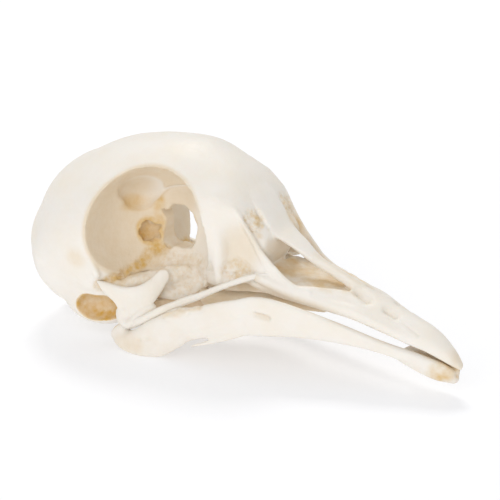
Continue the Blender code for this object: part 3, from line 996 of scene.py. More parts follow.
@dataclass(frozen=True)
class Skull:
    """Braincase, eye sockets, the wall between them and the upper bill, fused into one bone."""

    braincase: Egg = Egg((-8.8, 0.0, 10.3), 9.2, 5.6, 9.7, 8.7, 9.0, rings=72, sides=120)
    hindbrain: Egg = ball((-12.0, 0.0, 8.2), (6.6, 8.9, 7.2))
    roof: Vault = Vault((
        (-15.0, 15.9, 5.6, 10.4, 7.0), (-12.0, 18.5, 8.2, 10.8, 7.0), (-9.0, 20.1, 9.3, 11.2, 7.0),
        (-6.0, 21.0, 9.4, 12.0, 7.0), (-2.5, 21.6, 9.0, 12.7, 7.2), (1.0, 21.8, 8.4, 13.2, 7.6),
        (4.0, 21.0, 7.3, 13.6, 8.2), (6.4, 19.9, 5.9, 15.9, 8.2), (8.2, 18.3, 4.9, 16.3, 8.2),
        (9.6, 16.4, 4.1, 14.5, 9.0), (10.7, 15.0, 3.6, 13.3, 10.2), (11.3, 14.2, 3.4, 12.9, 11.4)),
        cap_share=0.04)
    base: Bar = Bar((
        (-14.4, 0.0, 3.4, 3.4, 2.0), (-11.4, 0.0, 1.9, 3.8, 2.0), (-8.0, 0.0, 2.3, 3.6, 1.9),
        (-4.8, 0.0, 3.7, 2.8, 1.5)), sides=48)
    ethmoid: Bar = Bar((
        (6.5, 0.0, 16.2, 4.6, 1.0), (6.9, 0.0, 14.4, 5.5, 1.1), (7.1, 0.0, 12.0, 5.6, 1.1),
        (7.0, 0.0, 10.0, 5.2, 1.1), (6.6, 0.0, 8.2, 4.2, 1.1)), sides=48, roundness=2.6,
        upward=FORWARD)
    ear: Egg = ball((-8.0, 5.6, 4.0), (4.5, 2.9, 2.8))
    zygomatic: Bar = Bar((
        (-9.4, 7.6, 7.8, 1.4, 1.9), (-7.6, 8.1, 6.7, 1.0, 1.1), (-6.5, 8.2, 6.2, 0.6, 0.6)))
    lacrimal: Bar = Bar((
        (5.9, 4.7, 17.6, 1.0, 1.0), (6.4, 5.2, 14.8, 0.8, 0.9), (6.8, 5.35, 12.4, 0.7, 0.8),
        (6.7, 5.1, 10.4, 0.65, 0.7), (6.5, 4.7, 8.4, 0.6, 0.6)), upward=FORWARD)
    postorbital: Bar = Bar((
        (-8.0, 8.6, 11.6, 0.6, 0.9), (-7.3, 8.7, 9.6, 0.45, 0.7), (-6.3, 8.6, 7.7, 0.3, 0.4)),
        upward=FORWARD)
    short_process: Bar = Bar((
        (-8.2, 8.7, 11.6, 0.6, 1.0), (-7.9, 8.8, 10.2, 0.45, 0.8), (-7.6, 8.7, 9.0, 0.35, 0.5)),
        upward=FORWARD)
    orbit: Egg = Egg((-0.4, 7.4, 13.0), 6.95, 6.25, 7.0, 6.95, 7.25, flatness=0.7, rings=72, sides=120)
    septum: Egg = Egg((1.4, 0.0, 11.4), 6.8, 7.6, 0.42, 5.8, 5.6, flatness=0.5)
    keel: Bar = Bar((
        (-9.0, 0.0, 4.0, 3.4, 2.6), (-5.6, 0.0, 5.1, 3.4, 2.5), (-2.6, 0.0, 5.9, 3.6, 2.3),
        (-0.2, 0.0, 6.3, 3.2, 2.1), (2.2, 0.0, 7.2, 2.4, 1.6), (6.0, 0.0, 8.3, 3.4, 1.2),
        (8.4, 0.0, 9.0, 2.6, 1.0)), sides=48, roundness=2.5)
    sill: Bar = Bar((
        (-6.2, 7.2, 6.4, 0.6, 0.7), (-4.6, 6.6, 6.3, 0.9, 0.8), (-3.2, 5.7, 6.75, 1.0, 0.9),
        (-2.0, 4.6, 6.95, 1.0, 1.0), (-0.7, 3.4, 7.2, 0.9, 1.2), (0.8, 2.3, 7.4, 0.7, 1.1)))
    cheek: Sheet = Sheet((
        (6.4, 4.9, 17.0, 6.4, 4.7, 8.6, 0.4), (7.6, 4.35, 16.6, 7.6, 4.45, 9.2, 0.38),
        (9.0, 3.8, 15.4, 9.0, 4.15, 9.7, 0.35), (10.3, 3.65, 13.6, 10.3, 4.05, 9.9, 0.35),
        (11.7, 3.75, 12.0, 11.7, 4.05, 10.0, 0.35)))
    struts: tuple[Bar, ...] = (
        Bar(((2.3, 0.9, 10.0, 0.5, 0.35), (2.9, 2.0, 8.4, 0.4, 0.3), (3.6, 3.0, 6.9, 0.3, 0.25)),
            upward=FORWARD),
        Bar(((4.2, 1.2, 10.2, 0.5, 0.3), (4.9, 2.6, 8.6, 0.4, 0.28), (5.4, 3.5, 7.6, 0.3, 0.25)),
            upward=FORWARD))
    shelf: Bar = Bar(((2.4, 1.8, 8.2, 0.5, 0.9), (4.4, 3.0, 8.1, 0.5, 0.8), (6.4, 4.2, 8.6, 0.5, 0.6)))
    wing: Bar = Bar((
        (-2.4, 4.6, 5.6, 0.7, 0.8), (-0.7, 4.0, 5.55, 0.8, 0.75), (1.0, 3.0, 5.85, 0.8, 0.85),
        (2.6, 2.0, 6.8, 0.6, 0.8)))
    neck_knob: Egg = ball((-16.3, 0.0, 2.2), (0.9, 0.9, 0.75))
    neck_hole: Egg = ball((-16.2, 0.0, 4.4), (2.4, 2.0, 2.1), wobble=0.05)
    cheek_foot: Bar = Bar((
        (6.4, 4.5, 8.4, 0.4, 0.5), (8.2, 4.35, 8.9, 0.4, 0.5), (10.3, 4.1, 9.6, 0.4, 0.4)))
    ear_pits: tuple[Egg, ...] = (ball((-7.35, 8.4, 3.7), (2.0, 2.6, 1.6), wobble=0.05),
                                 ball((-6.2, 8.4, 3.8), (2.0, 2.6, 1.5), wobble=0.05),
                                 ball((-5.1, 8.3, 3.8), (1.9, 2.5, 1.2), wobble=0.05))
    scoop: Bar = Bar((
        (-5.33, 2.28, 14.35, 1.6, 1.3), (-5.3, 2.26, 14.8, 2.1, 1.3), (-4.9, 2.6, 15.5, 2.4, 1.3),
        (-4.1, 3.4, 16.6, 2.5, 1.3), (-2.9, 5.0, 17.4, 2.4, 1.3)), sides=48, upward=(0.66, 0.66, -0.36))
    nerve_hole: Egg = ball((-4.5, 1.6, 11.0), (1.3, 0.95, 1.25), wobble=0.4, lump=0.5)
    window: Pane = Pane((
        (-3.5, 13.4), (-2.7, 13.6), (-1.9, 14.3), (-1.0, 14.3), (0.2, 13.5), (0.75, 12.6), (0.85, 11.4),
        (0.65, 10.2), (-0.5, 9.7), (-1.8, 9.6), (-2.7, 9.7), (-3.1, 10.6), (-3.0, 12.3)), -1.9, 1.9,
        ragged=0.08, lump=0.5)
    bill: Vault = Vault((
        (20.5, 9.75, 2.3, 8.2, 7.3), (21.7, 9.45, 2.85, 7.5, 6.9), (24.4, 8.55, 2.55, 6.5, 5.95),
        (27.4, 7.55, 2.1, 5.6, 5.1), (30.0, 6.6, 1.6, 4.9, 4.4), (32.0, 5.1, 1.0, 4.0, 3.5),
        (33.1, 3.8, 0.45, 3.4, 3.0)), sides=72)
    culmen: Bar = Bar((
        (6.4, 0.0, 18.6, 2.2, 0.6), (8.2, 0.0, 17.5, 2.2, 0.6), (9.6, 0.0, 15.95, 2.1, 0.5),
        (11.2, 0.0, 14.0, 1.87, 0.42), (12.3, 0.0, 13.3, 1.5, 0.4), (13.6, 0.0, 12.6, 1.2, 0.4),
        (15.7, 0.0, 11.3, 0.72, 0.42), (18.3, 0.0, 10.3, 0.68, 0.42), (20.2, 0.0, 9.6, 0.9, 0.45),
        (23.0, 0.0, 8.4, 1.3, 0.6)), steps=90, sides=48, roundness=2.8)
    nasal: Bar = Bar((
        (6.6, 3.7, 17.3, 0.6, 0.5), (7.6, 4.3, 17.0, 0.5, 0.4), (8.4, 4.35, 16.5, 0.36, 0.33),
        (9.3, 4.25, 15.35, 0.32, 0.27), (10.3, 4.12, 13.85, 0.3, 0.3), (11.3, 4.1, 12.4, 0.3, 0.42),
        (12.5, 4.0, 10.9, 0.33, 0.7), (13.6, 3.85, 9.9, 0.4, 0.7), (15.2, 3.7, 9.2, 0.45, 0.55),
        (16.8, 3.3, 9.0, 0.5, 0.5)), steps=90)
    rim: Bar = Bar((
        (15.6, 3.4, 9.2, 0.4, 0.4), (18.0, 2.5, 9.25, 0.4, 0.4), (19.4, 1.9, 9.15, 0.4, 0.4),
        (21.0, 1.4, 8.9, 0.4, 0.5)))
    tomium: Bar = Bar((
        (11.2, 4.6, 10.0, 0.42, 0.5), (14.5, 4.05, 8.95, 0.5, 0.65), (18.0, 3.3, 8.2, 0.5, 0.65),
        (21.5, 2.6, 7.75, 0.7, 0.75), (24.5, 2.0, 6.85, 0.7, 0.65), (27.5, 1.5, 5.8, 0.6, 0.6)),
        steps=120)
    palate_ledge: Bar = Bar((
        (9.4, 3.9, 9.2, 0.4, 0.3), (11.2, 4.0, 8.9, 0.5, 0.45), (13.5, 3.8, 8.6, 0.5, 0.6),
        (18.0, 3.0, 8.0, 0.5, 0.65), (21.5, 2.15, 7.35, 0.5, 0.65), (24.6, 1.6, 6.45, 0.5, 0.6),
        (27.5, 1.1, 5.45, 0.45, 0.5), (30.0, 0.6, 4.7, 0.4, 0.4)), steps=90)
    nostril_floor: Bar = Bar((
        (11.1, 0.0, 9.9, 3.2, 0.4), (12.4, 0.0, 9.6, 3.5, 0.4), (14.0, 0.0, 9.2, 3.5, 0.5),
        (17.0, 0.0, 8.75, 3.0, 0.7), (20.9, 0.0, 8.15, 2.4, 0.8)), sides=48)
    maxilla: Sheet = Sheet((
        (12.2, 3.95, 10.6, 12.2, 4.3, 9.2, 0.35), (13.8, 3.75, 9.9, 13.8, 4.1, 8.75, 0.45),
        (15.6, 3.55, 9.3, 15.6, 3.85, 8.4, 0.45), (17.6, 2.8, 9.25, 17.6, 3.35, 8.0, 0.45),
        (19.4, 2.1, 9.2, 19.4, 2.95, 7.75, 0.5), (21.4, 1.6, 8.9, 21.4, 2.5, 7.4, 0.5)))
    coarse: float = 0.18
    fine: float = 0.14
    quadrate_gap: float = 0.08
    dome_ends: tuple[float, float] = (5.5, 9.0)
    ripple: float = 0.02
    sponge_rise: float = 0.17
    sponge_sink: float = 0.07
    triangles: int = 192000
    # Rounds of smoothing, whether thin bars keep their thickness, and where: the bill's root, the
    # sockets' upper rear, their rear floor and the front of the cheek.
    smoothings: tuple[tuple[int, bool, Spot], ...] = (
        (40, True, Spot((8.8, 0.0, 17.0), (3.0, 2.6, 2.6), 0.5)),
        (200, False, Spot((-4.6, 3.8, 17.8), (2.8, 2.8, 1.8), 0.35)),
        (60, True, Spot((-3.0, 5.4, 7.2), (2.6, 2.2, 1.3), 0.4)),
        (30, True, Spot((14.0, 4.2, 9.6), (4.5, 1.3, 1.6), 0.4)))
    # In order: the ridge across the back of the head, three seams at the bill's root, four hollows
    # and lines on the bill, and the groove that runs forward along the wall between the sockets.
    grooves: tuple[Groove, ...] = (
        Groove(((-14.2, 8.0, 8.0), (-15.8, 6.8, 9.6), (-17.2, 3.8, 11.5), (-17.8, 0.55, 12.1)),
               0.75, -0.24),
        Groove(((7.0, 3.4, 17.3), (8.0, 3.75, 16.8), (9.0, 3.8, 15.9), (10.0, 3.7, 14.6)), 0.16, 0.25),
        Groove(((8.1, 1.9, 17.7), (9.0, 2.1, 16.7), (10.0, 2.1, 15.5), (10.8, 1.95, 14.5)), 0.14, 0.14),
        Groove(((10.1, 0.0, 15.7), (11.2, 0.0, 14.2), (13.6, 0.0, 12.5)), 0.16, 0.1),
        Groove(((21.3, 1.1, 9.4), (22.6, 1.35, 8.85)), 0.5, 0.6),
        Groove(((24.9, 1.15, 8.15), (25.9, 1.15, 7.8)), 0.42, 0.55),
        Groove(((26.4, 1.35, 7.5), (28.75, 1.4, 6.4)), 0.2, 0.15),
        Groove(((25.6, 1.75, 7.5), (28.3, 1.6, 6.1)), 0.16, 0.1),
        Groove(((-4.1, 1.4, 14.8), (-3.38, 1.2, 15.4), (-2.04, 1.09, 16.15), (0.07, 1.17, 16.7)),
               0.22, 0.28))
    rear_line: Rows = ((-6.3, 8.1, 6.6), (-5.3, 6.7, 7.0), (-4.5, 4.9, 7.6), (-4.1, 3.1, 8.3),
                       (-3.7, 2.0, 9.1), (-2.6, 1.4, 9.4))
    column_line: Rows = ((-3.4, 1.4, 14.6), (-3.5, 1.3, 12.2), (-3.5, 1.4, 10.0))
    # The foot of the wall between the sockets, their rear floor, the nose, the cheek and the
    # nostrils' floor.
    spongy: tuple[Spot, ...] = (
        Spot((0.5, 2.2, 7.2), (4.5, 3.0, 2.6), 0.25, 0.7),
        Spot((-3.4, 6.0, 6.9), (2.6, 2.0, 1.2), 0.3, 0.6),
        Spot((9.6, 3.0, 15.2), (1.0, 1.3, 1.6)),
        Spot((8.6, 4.5, 10.2), (1.8, 1.4, 1.3)),
        Spot((15.0, 0.0, 9.6), (6.0, 3.3, 0.9), 0.2, 0.35))
    brain: Spot = Spot((-5.4, 2.8, 15.2), (2.3, 2.3, 2.3))
    # Beige spots: the window and the recess in front of the sockets, both painted shade, the sockets' rear
    # floor and the tip of the bill.
    warm_and_shaded_spots: tuple[Spot, ...] = (
        Spot((-1.6, 0.0, 12.0), (2.6, 2.0, 2.8), 0.15),
        Spot((-3.4, 6.0, 6.9), (2.6, 2.0, 1.2), 0.3, 0.5),
        Spot((9.2, 4.6, 12.6), (2.0, 1.2, 2.6), 0.5, 0.6),
        Spot((33.2, 0.0, 3.9), (1.4, 1.0, 1.4), 0.5, 0.6))
    # Painted shade on the faces of the bill's lower edge that look downwards.
    underside_shade: Spot = Spot((13.5, 3.8, 8.2), (6.0, 2.4, 1.5), 0.3, 0.6)
    # The nose's root, the cheek and the scoop's lower edge, and the slot under the sockets and the temple,
    # where the ochre is painted shade.
    stain_and_shade_spots: tuple[tuple[Spot, Mottle], ...] = (
        (Spot((10.0, 2.8, 14.5), (1.5, 0.9, 1.6), 0.25), Mottle(0.3, 0.5, 0.4, 0.8)),
        (Spot((9.0, 4.4, 10.0), (2.8, 1.5, 0.9), 0.4), Mottle(0.15, 0.35, 0.3, 0.6)),
        (Spot((-1.6, 3.6, 5.8), (1.1, 1.7, 1.5)), Mottle(0.8, 0.4)),
        (Spot((-6.0, 2.2, 14.0), (1.5, 1.5, 0.8), 0.5, 0.55), Mottle(1.0)),
        (Spot((-8.4, 9.4, 9.6), (1.0, 0.8, 1.0), 0.6, 0.22), Mottle(1.0)))
    left_stain: Spot = Spot((10.9, 2.6, 13.4), (1.3, 1.4, 2.2))

    def build(self, quadrate: Quadrate) -> bpy.types.Object:
        """Fuse the outer forms, cut the hollows, add the thin walls and bars and work the skin.

        Args:
            quadrate: The bone that the skull makes room for.

        Returns:
            The finished piece.
        """
        item = self.outer_shell()
        self.cut_sockets(item)
        self.add_thin_parts(item)
        self.cut_holes(item, quadrate)
        skin = Skin(item)
        self.carve(skin)
        thin_out(skin.write(), self.triangles)
        skin = Skin(item)
        skin.masks = {"warmth_and_shade": self.warmth_and_shade(skin), "stain": self.stain(skin), "sponge": self.sponge(skin)}
        dress(skin)
        return skin.finish("skull_bone", ["cranium", "upper_bill"])

    def outer_shell(self) -> bpy.types.Object:
        """Fuse braincase, roof, base, ears and brow walls, with soft joins."""
        single = (self.roof, self.braincase, self.hindbrain, self.base, self.ethmoid)
        parts = [form.surface() for form in single]
        for form in (self.ear, self.zygomatic, self.lacrimal):
            parts += both(form)
        item = add_object("skull", parts)
        fuse(item, self.coarse)
        skin = Skin(item)
        dome = 1 - fade(skin.points[:, 0], *self.dome_ends)
        skin.relax(60, dome, keep=False)
        skin.relax(10, 1 - dome)
        return skin.write()

    def cut_sockets(self, item: bpy.types.Object) -> None:
        """Add the two unlike processes behind the sockets, then cut the sockets, ears and neck hole."""
        add_to(item, [self.postorbital.surface(Side.RIGHT), self.short_process.surface(Side.LEFT)])
        fuse(item, self.coarse)
        cuts = both(self.orbit) + both(self.scoop) + [self.neck_hole.surface()]
        for pit in self.ear_pits:
            cuts += both(pit)
        hollow(item, cuts, self.coarse)

    def add_thin_parts(self, item: bpy.types.Object) -> None:
        """Add the walls, bars and ledges that are finer than the sockets' cut."""
        single = (self.neck_knob, self.septum, self.keel, self.bill, self.culmen, self.nostril_floor)
        paired = (self.nasal, self.rim, self.maxilla, self.tomium, self.palate_ledge, self.shelf, self.sill,
                  self.wing, self.cheek, *self.struts)
        parts = [form.surface() for form in single]
        for form in paired:
            parts += both(form)
        parts.append(self.cheek_foot.surface(Side.RIGHT))
        add_to(item, parts)
        fuse(item, self.fine)

    def cut_holes(self, item: bpy.types.Object, quadrate: Quadrate) -> None:
        """Cut the nerve holes, the window between the sockets and the room for the quadrates."""
        cuts = both(self.nerve_hole) + [self.window.surface(), BELOW_FLOOR.surface()]
        for side in Side:
            cuts += quadrate.surfaces(side, self.quadrate_gap)
        hollow(item, cuts, self.fine)
        fuse(item, self.fine)

    def carve(self, skin: Skin) -> None:
        """Smooth the joins, roughen the spongy places and press the grooves and pits."""
        skin.relax(4)
        for rounds, keep, spot in self.smoothings:
            skin.relax(rounds, skin.within(spot), keep)
        skin.push(-self.ripple * layered_noise(skin.points, 2.2, Seed.SKULL))
        sponge = self.sponge(skin)
        rough = self.sponge_rise * layered_noise(skin.points, 0.8, Seed.SPONGE, 2) - self.sponge_sink
        skin.push(sponge * rough)
        for groove in self.grooves:
            skin.press(groove)
        skin.relax(1)

    def sponge(self, skin: Skin) -> np.ndarray:
        """Where the bone is spongy: the foot of the socket, the nose and the cheek's inner side."""
        rear = skin.along(self.rear_line, 0.4, 1.0)
        return np.maximum.reduce([rear] + [skin.within(spot) for spot in self.spongy])

    def warmth_and_shade(self, skin: Skin) -> np.ndarray:
        """Where the bone is beige, mostly as painted shade.

        Args:
            skin: The skull's skin.

        Returns:
            The greatest share at each point of the sockets' lining, painted shade strongest at the rear
            and under the roof, painted shade inside the nose and on the bill's downward-facing lower edge,
            and the listed spots.
        """
        points, facing = skin.points, skin.normals()
        x, z = points[:, 0], points[:, 2]
        noise = layered_noise(points, 1.3, Seed.SKULL_STAIN)
        rear = 1 - fade(x + 0.55 * (7.6 - z) + 0.3 * noise, -3.8, -2.2)
        roof = 0.8 * fade(z + 0.3 * noise, 15.5, 17.5)
        brain = skin.within(self.brain)
        socket = np.maximum(self.orbit.lined(points), brain)
        # Painted shade: the sockets' lining is beige, most of all at their rear and under their roof.
        lining = socket * Mottle(0.1, 0.85).over(np.maximum.reduce([rear, roof, brain]))
        inward = facing[:, 1] * np.sign(points[:, 1]) < 0.1
        above = z > 8.4 - 0.1 * (x - 14.0)
        below = z < 13.5 - 0.35 * (x - 11.0)
        # Painted shade on the inward faces inside the nostrils.
        nose = 0.55 * skin.softened((x > 10.4) & (x < 21.5) & above & below & inward, 3)
        # Painted shade on the downward faces of the bill's lower edge.
        edge = skin.softened(facing[:, 2] < -0.05, 4) * skin.within(self.underside_shade)
        return np.maximum.reduce([lining, nose, edge] + [skin.within(spot) for spot in self.warm_and_shaded_spots])

    def stain(self, skin: Skin) -> np.ndarray:
        """Where the bone is ochre: mostly stains, and painted shade in a few spots.

        Args:
            skin: The skull's skin.

        Returns:
            The greatest share at each point of the ears, the nose, the nerve holes, the lines at the
            sockets' rear and the listed spots, two of them painted shade, all of them mottled.
        """
        points = skin.points
        noise = layered_noise(points, 1.3, Seed.SKULL_STAIN)
        finer = layered_noise(points, 0.5, Seed.SKULL_STAIN_FINE)
        ear = np.maximum.reduce([pit.lined(points) for pit in self.ear_pits])
        nose = self.nose_floor(skin) * Mottle(0.34, 0.35).over(noise)
        front = skin.within(self.left_stain) * Mottle(0.5, 0.4).over(noise) * (points[:, 1] > 0)
        nerve = (0.9 + 0.2 * noise) * self.nerve_hole.lined(points, 0.35) * self.orbit.lined(points, 1.0)
        column = skin.along(self.column_line, 0.3, 0.9, 0.15 * noise)
        band = skin.along(self.rear_line, 0.2, 0.9, 0.25 * noise)
        lines = [column * Mottle(0.6, 0.3).over(finer), band * Mottle(0.6, 0.6).over(finer)]
        # Of these spots, the slot under the sockets and the temple are painted shade.
        spots = [skin.within(spot) * mottle.over(noise, finer) for spot, mottle in self.stain_and_shade_spots]
        return np.maximum.reduce([ear * Mottle(0.82, 0.3).over(noise), nose, front, nerve] + lines + spots)

    @staticmethod
    def nose_floor(skin: Skin) -> np.ndarray:
        """Find the floor inside the nostrils: its width and height shrink towards the tip."""
        x, y, z = skin.points[:, 0], np.abs(skin.points[:, 1]), skin.points[:, 2]
        inside = (y < 3.3 - 0.1 * (x - 14.0)) & (z < 10.0 - 0.1 * (x - 15.0)) & (x > 11.0) & (x < 20.4)
        return skin.softened(inside & (skin.normals()[:, 2] > -0.2), 4)


@dataclass(frozen=True)
class Mandible:
    """The lower jaw: two blades that meet in a shallow spoon at the tip."""

    ramus: Blade = Blade((
        (-3.7, 8.4, 3.1, 1.0, 0.7), (-2.8, 8.4, 2.3, 0.3, 1.1), (-1.2, 8.4, 2.8, -0.1, 1.1),
        (0.6, 8.2, 3.95, 0.0, 0.8), (2.2, 7.85, 4.95, 1.0, 0.7), (3.6, 7.5, 5.85, 2.05, 0.65),
        (5.5, 7.3, 6.3, 2.8, 0.6), (8.3, 7.0, 7.3, 3.55, 0.55), (10.4, 6.6, 7.95, 4.0, 0.52),
        (12.9, 6.1, 8.6, 4.3, 0.5), (16.9, 5.0, 7.8, 4.6, 0.5), (21.0, 3.8, 6.6, 4.5, 0.5),
        (25.0, 2.6, 5.3, 4.0, 0.5), (28.6, 1.6, 4.45, 3.0, 0.6), (31.0, 0.9, 3.75, 2.0, 0.6),
        (32.1, 0.45, 3.1, 1.6, 0.5)), steps=120, sides=36)
    chin: Bar = Bar((
        (26.6, 0.0, 3.6, 2.2, 0.5), (28.6, 0.0, 2.9, 2.0, 0.6), (30.6, 0.0, 2.2, 1.5, 0.6),
        (32.3, 0.0, 1.9, 0.7, 0.5)), sides=36)
    splint: Bar = Bar((
        (11.6, 6.4, 4.75, 0.3, 0.35), (9.4, 6.9, 3.7, 0.3, 0.3), (7.2, 7.3, 2.8, 0.24, 0.24),
        (5.1, 7.6, 2.0, 0.15, 0.15)))
    slit: Groove = Groove(((12.4, 6.75, 6.75), (13.0, 6.6, 6.65), (13.7, 6.45, 6.5)), 0.26, 0.6)
    grooves: tuple[Groove, ...] = (
        Groove(((3.9, 8.1, 2.9), (6.0, 7.85, 4.0), (8.0, 7.6, 5.0), (12.3, 6.75, 6.8)), 0.16, 0.07),
        Groove(((-0.6, 9.35, 1.9), (-0.45, 9.35, 1.95)), 0.16, 0.2),
        Groove(((0.45, 9.15, 2.2), (0.6, 9.1, 2.25)), 0.16, 0.2))
    edge: Rows = ((2.1, 8.2, 4.9), (4.0, 7.9, 5.8), (6.0, 7.7, 6.5))
    rear_hollow: Spot = Spot((-1.4, 9.0, 1.3), (1.3, 0.9, 0.9), 0.6)
    rear_hollow_depth: float = 0.18
    ripple: float = 0.02
    worn_rise: float = 0.14
    worn_sink: float = 0.04
    # The tip, the rear end and the hollow in front of it, whose ochre is partly painted shade.
    stain_and_shade_spots: tuple[tuple[Spot, Mottle], ...] = (
        (Spot((31.2, 0.9, 2.9), (1.6, 1.0, 1.1), 0.35), Mottle(0.65, 0.5)),
        (Spot((-4.3, 8.4, 2.9), (0.6, 1.2, 0.5), 0.4, 0.5), Mottle(1.0)),
        (Spot((-1.6, 9.0, 1.5), (1.6, 0.9, 1.1), 0.5, 0.2), Mottle(1.0)))
    voxel: float = 0.13

    def build(self) -> bpy.types.Object:
        """Make the lower jaw."""
        item = add_object("jaw", both(self.ramus) + [self.chin.surface(), self.splint.surface(Side.RIGHT)])
        fuse(item, self.voxel)
        hollow(item, [BELOW_FLOOR.surface()], 1.0)
        fuse(item, self.voxel)
        skin = Skin(item)
        skin.relax(12)
        self.carve(skin)
        self.mark(skin)
        dress(skin)
        return skin.finish("jaw_bone", ["mandible"])

    def carve(self, skin: Skin) -> None:
        """Press the hollow at the rear, the slit, the groove and the pits, and roughen the worn edge."""
        skin.push(self.ripple * layered_noise(skin.points, 1.9, Seed.JAW))
        skin.push(-self.rear_hollow_depth * skin.within(self.rear_hollow))
        for groove in (self.slit, *self.grooves):
            skin.press(groove)
        worn = skin.along(self.edge, 0.3, 0.8)
        rough = self.worn_rise * layered_noise(skin.points, 0.6, Seed.JAW_EDGE, 2) - self.worn_sink
        skin.push(worn * rough)

    def mark(self, skin: Skin) -> None:
        """Colour the jaw: painted shade on the inner sides and in the slit, stains on the spoon, the worn
        edge and the listed spots.
        """
        points, facing = skin.points, skin.normals()
        x, y, z = points[:, 0], np.abs(points[:, 1]), points[:, 2]
        noise = layered_noise(points, 1.2, Seed.JAW_STAIN)
        inner = skin.softened(facing[:, 1] * np.sign(points[:, 1]) < -0.2, 4)
        spoon = skin.softened((x > 27.5) & (facing[:, 2] > 0.3) & (y < 1.3), 3)
        worn = 0.4 * skin.along(self.edge, 0.1, 0.6, 0.25 * noise)
        stain_and_shade_spots = [skin.within(spot) * mottle.over(noise) for spot, mottle in self.stain_and_shade_spots]
        # The inner sides and the slit get ochre as painted shade; the spoon and the worn edge are stained.
        stain_and_shade_spots += [0.3 * inner * Mottle(0.6, 0.6).over(noise), spoon * Mottle(0.5, 0.4).over(noise),
                   worn, 0.8 * skin.along(self.slit.path, 0.12, 0.3)]
        # Painted shade: beige on the inner sides and brown in the slit. The jaw is also a little more beige
        # lower down.
        skin.masks["warmth_and_shade"] = np.maximum(0.55 * inner, 0.25 * fade(noise + 0.5 * (4.5 - z), -0.2, 2.0))
        skin.masks["crease"] = 0.7 * skin.along(self.slit.path, 0.1, 0.3)
        skin.masks["stain"] = np.maximum.reduce(stain_and_shade_spots)


# Studio


@dataclass(frozen=True)
class AreaLight:
    """A square area light. Its place, its aim and its size are in millimetres."""

    name: str
    place: Point
    size: float
    watts: float
    tint: Point
    aim: Point = (0.0, 0.0, 5.0)

    def build(self) -> None:
        """Add the light, turned towards its aim."""
        data = bpy.data.lights.new(self.name, "AREA")
        data.size = self.size * MM
        data.energy = self.watts
        data.color = self.tint
        item = bpy.data.objects.new(self.name, data)
        item.location = Vector(self.place) * MM
        item.rotation_mode = "QUATERNION"
        item.rotation_quaternion = (Vector(self.aim) - Vector(self.place)).to_track_quat("-Z", "Y")
        bpy.context.scene.collection.objects.link(item)


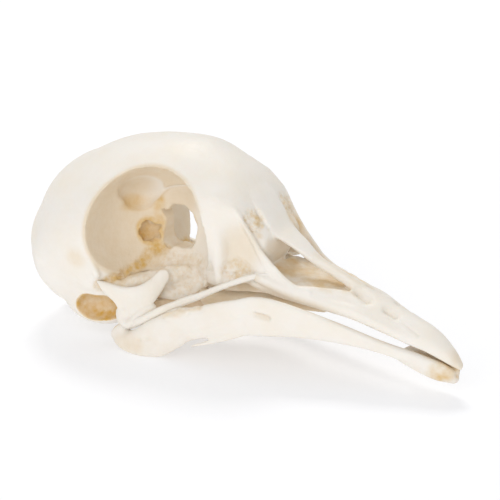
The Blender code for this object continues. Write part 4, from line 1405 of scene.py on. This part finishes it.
@dataclass(frozen=True)
class Studio:
    """Pale floor, soft lights and the camera at the photograph's angle. Distances are in millimetres."""

    target: Point = (3.3 - ORIGIN_X, 5.83, 8.2)
    distance: float = 400.0
    azimuth: float = 34.0
    elevation: float = 20.0
    pixels_per_mm: float = 9.4
    sensor: float = 36.0
    image_width: float = 500.0
    lights: tuple[AreaLight, ...] = (
        AreaLight("key", (-140.0, 170.0, 300.0), 110.0, 0.44, (1.0, 0.99, 0.97)),
        AreaLight("fill", (90.0, -300.0, 160.0), 300.0, 0.43, (0.99, 0.99, 1.0)))
    floor_half: float = 3000.0
    floor_base: Colour = (0.56, 0.56, 0.57, 1.0)
    floor_glow: Colour = (0.97, 0.98, 1.0, 1.0)
    floor_glow_strength: float = 0.46
    floor_roughness: float = 0.8
    world_strength: float = 0.6

    def camera(self) -> None:
        """Place the camera: its axes come from its two angles, its lens from the photo's scale."""
        a, e = math.radians(self.azimuth), math.radians(self.elevation)
        back = Vector((math.sin(a) * math.cos(e), -math.cos(a) * math.cos(e), math.sin(e)))
        right = Vector((math.cos(a), math.sin(a), 0.0))
        turn = Matrix((right, back.cross(right), back)).transposed().to_4x4()
        turn.translation = (Vector(self.target) + back * self.distance) * MM
        data = bpy.data.cameras.new("camera")
        data.sensor_width = self.sensor
        data.lens = self.pixels_per_mm * self.distance / self.image_width * self.sensor
        data.clip_start = 0.01
        item = bpy.data.objects.new("camera", data)
        item.matrix_world = turn
        bpy.context.scene.collection.objects.link(item)
        bpy.context.scene.camera = item

    def floor(self) -> None:
        """Add a wide pale floor, a grid of one face."""
        corners = ((-1, -1), (1, -1), (1, 1), (-1, 1))
        half = self.floor_half * MM
        mesh = bpy.data.meshes.new("floor")
        mesh.from_pydata([(x * half, y * half, 0.0) for x, y in corners], [], [(0, 1, 2, 3)])
        item = bpy.data.objects.new("floor", mesh)
        bpy.context.scene.collection.objects.link(item)
        build = ShaderBuilder("floor_white")
        build.feed("Base Color", self.floor_base)
        build.feed("Roughness", self.floor_roughness)
        build.feed("Emission Color", self.floor_glow)
        build.feed("Emission Strength", self.floor_glow_strength)
        mesh.materials.append(build.material)

    def world(self) -> None:
        """Light the scene evenly from all round, and show colours as they are."""
        world = bpy.data.worlds.new("studio")
        world.use_nodes = True
        background = world.node_tree.nodes["Background"]
        background.inputs["Color"].default_value = (1.0, 1.0, 1.0, 1.0)
        background.inputs["Strength"].default_value = self.world_strength
        bpy.context.scene.world = world
        bpy.context.scene.view_settings.view_transform = "Standard"

    def build(self) -> None:
        """Set up the whole studio."""
        self.camera()
        self.floor()
        for light in self.lights:
            light.build()
        self.world()


JUGAL = SlenderBone("jugal_bar", Bar((
    (-2.3, 8.15, 3.0, 0.4, 0.5), (-0.7, 8.1, 3.9, 0.4, 0.45), (1.0, 7.7, 5.0, 0.35, 0.45),
    (2.9, 6.7, 6.0, 0.35, 0.45), (5.0, 6.0, 7.05, 0.33, 0.38), (8.0, 5.5, 8.7, 0.3, 0.3),
    (10.6, 4.95, 9.9, 0.3, 0.33), (12.2, 4.25, 10.35, 0.16, 0.18)), steps=90), 0.05)
# The palatines and pterygoids lie in the skull's shade: their ochre is partly their own tone and partly
# painted shade, and the pterygoids' brown is painted shade.
PALATINE = SlenderBone("palatine", Bar((
    (2.3, 1.8, 5.7, 0.5, 0.6), (4.6, 2.8, 5.6, 1.2, 0.9), (8.6, 3.0, 6.5, 1.3, 0.8),
    (12.8, 2.6, 7.0, 0.8, 0.6), (17.6, 1.8, 7.1, 0.5, 0.5)), steps=90), stain=0.28)
PTERYGOID = SlenderBone("pterygoid", Bar((
    (-1.4, 5.7, 4.3, 0.6, 0.8), (-0.6, 4.8, 4.35, 0.6, 0.75), (0.2, 3.6, 4.4, 0.55, 0.65),
    (2.1, 1.9, 4.2, 0.6, 0.75))), stain=0.3, shade_brown=0.25)


def main() -> None:
    """Build the studio and every bone, and write how large the model came out."""
    Studio().build()
    quadrate = Quadrate()
    pieces = [Skull().build(quadrate), Mandible().build()]
    for side in Side:
        pieces += [quadrate.build(side)] + [bone.build(side) for bone in (JUGAL, PALATINE, PTERYGOID)]
    finish = BoneFinish().material()
    for piece in pieces:
        piece.data.materials.clear()
        piece.data.materials.append(finish)


if __name__ == "__main__":
    logging.basicConfig(level=logging.INFO, format="%(message)s")
    main()
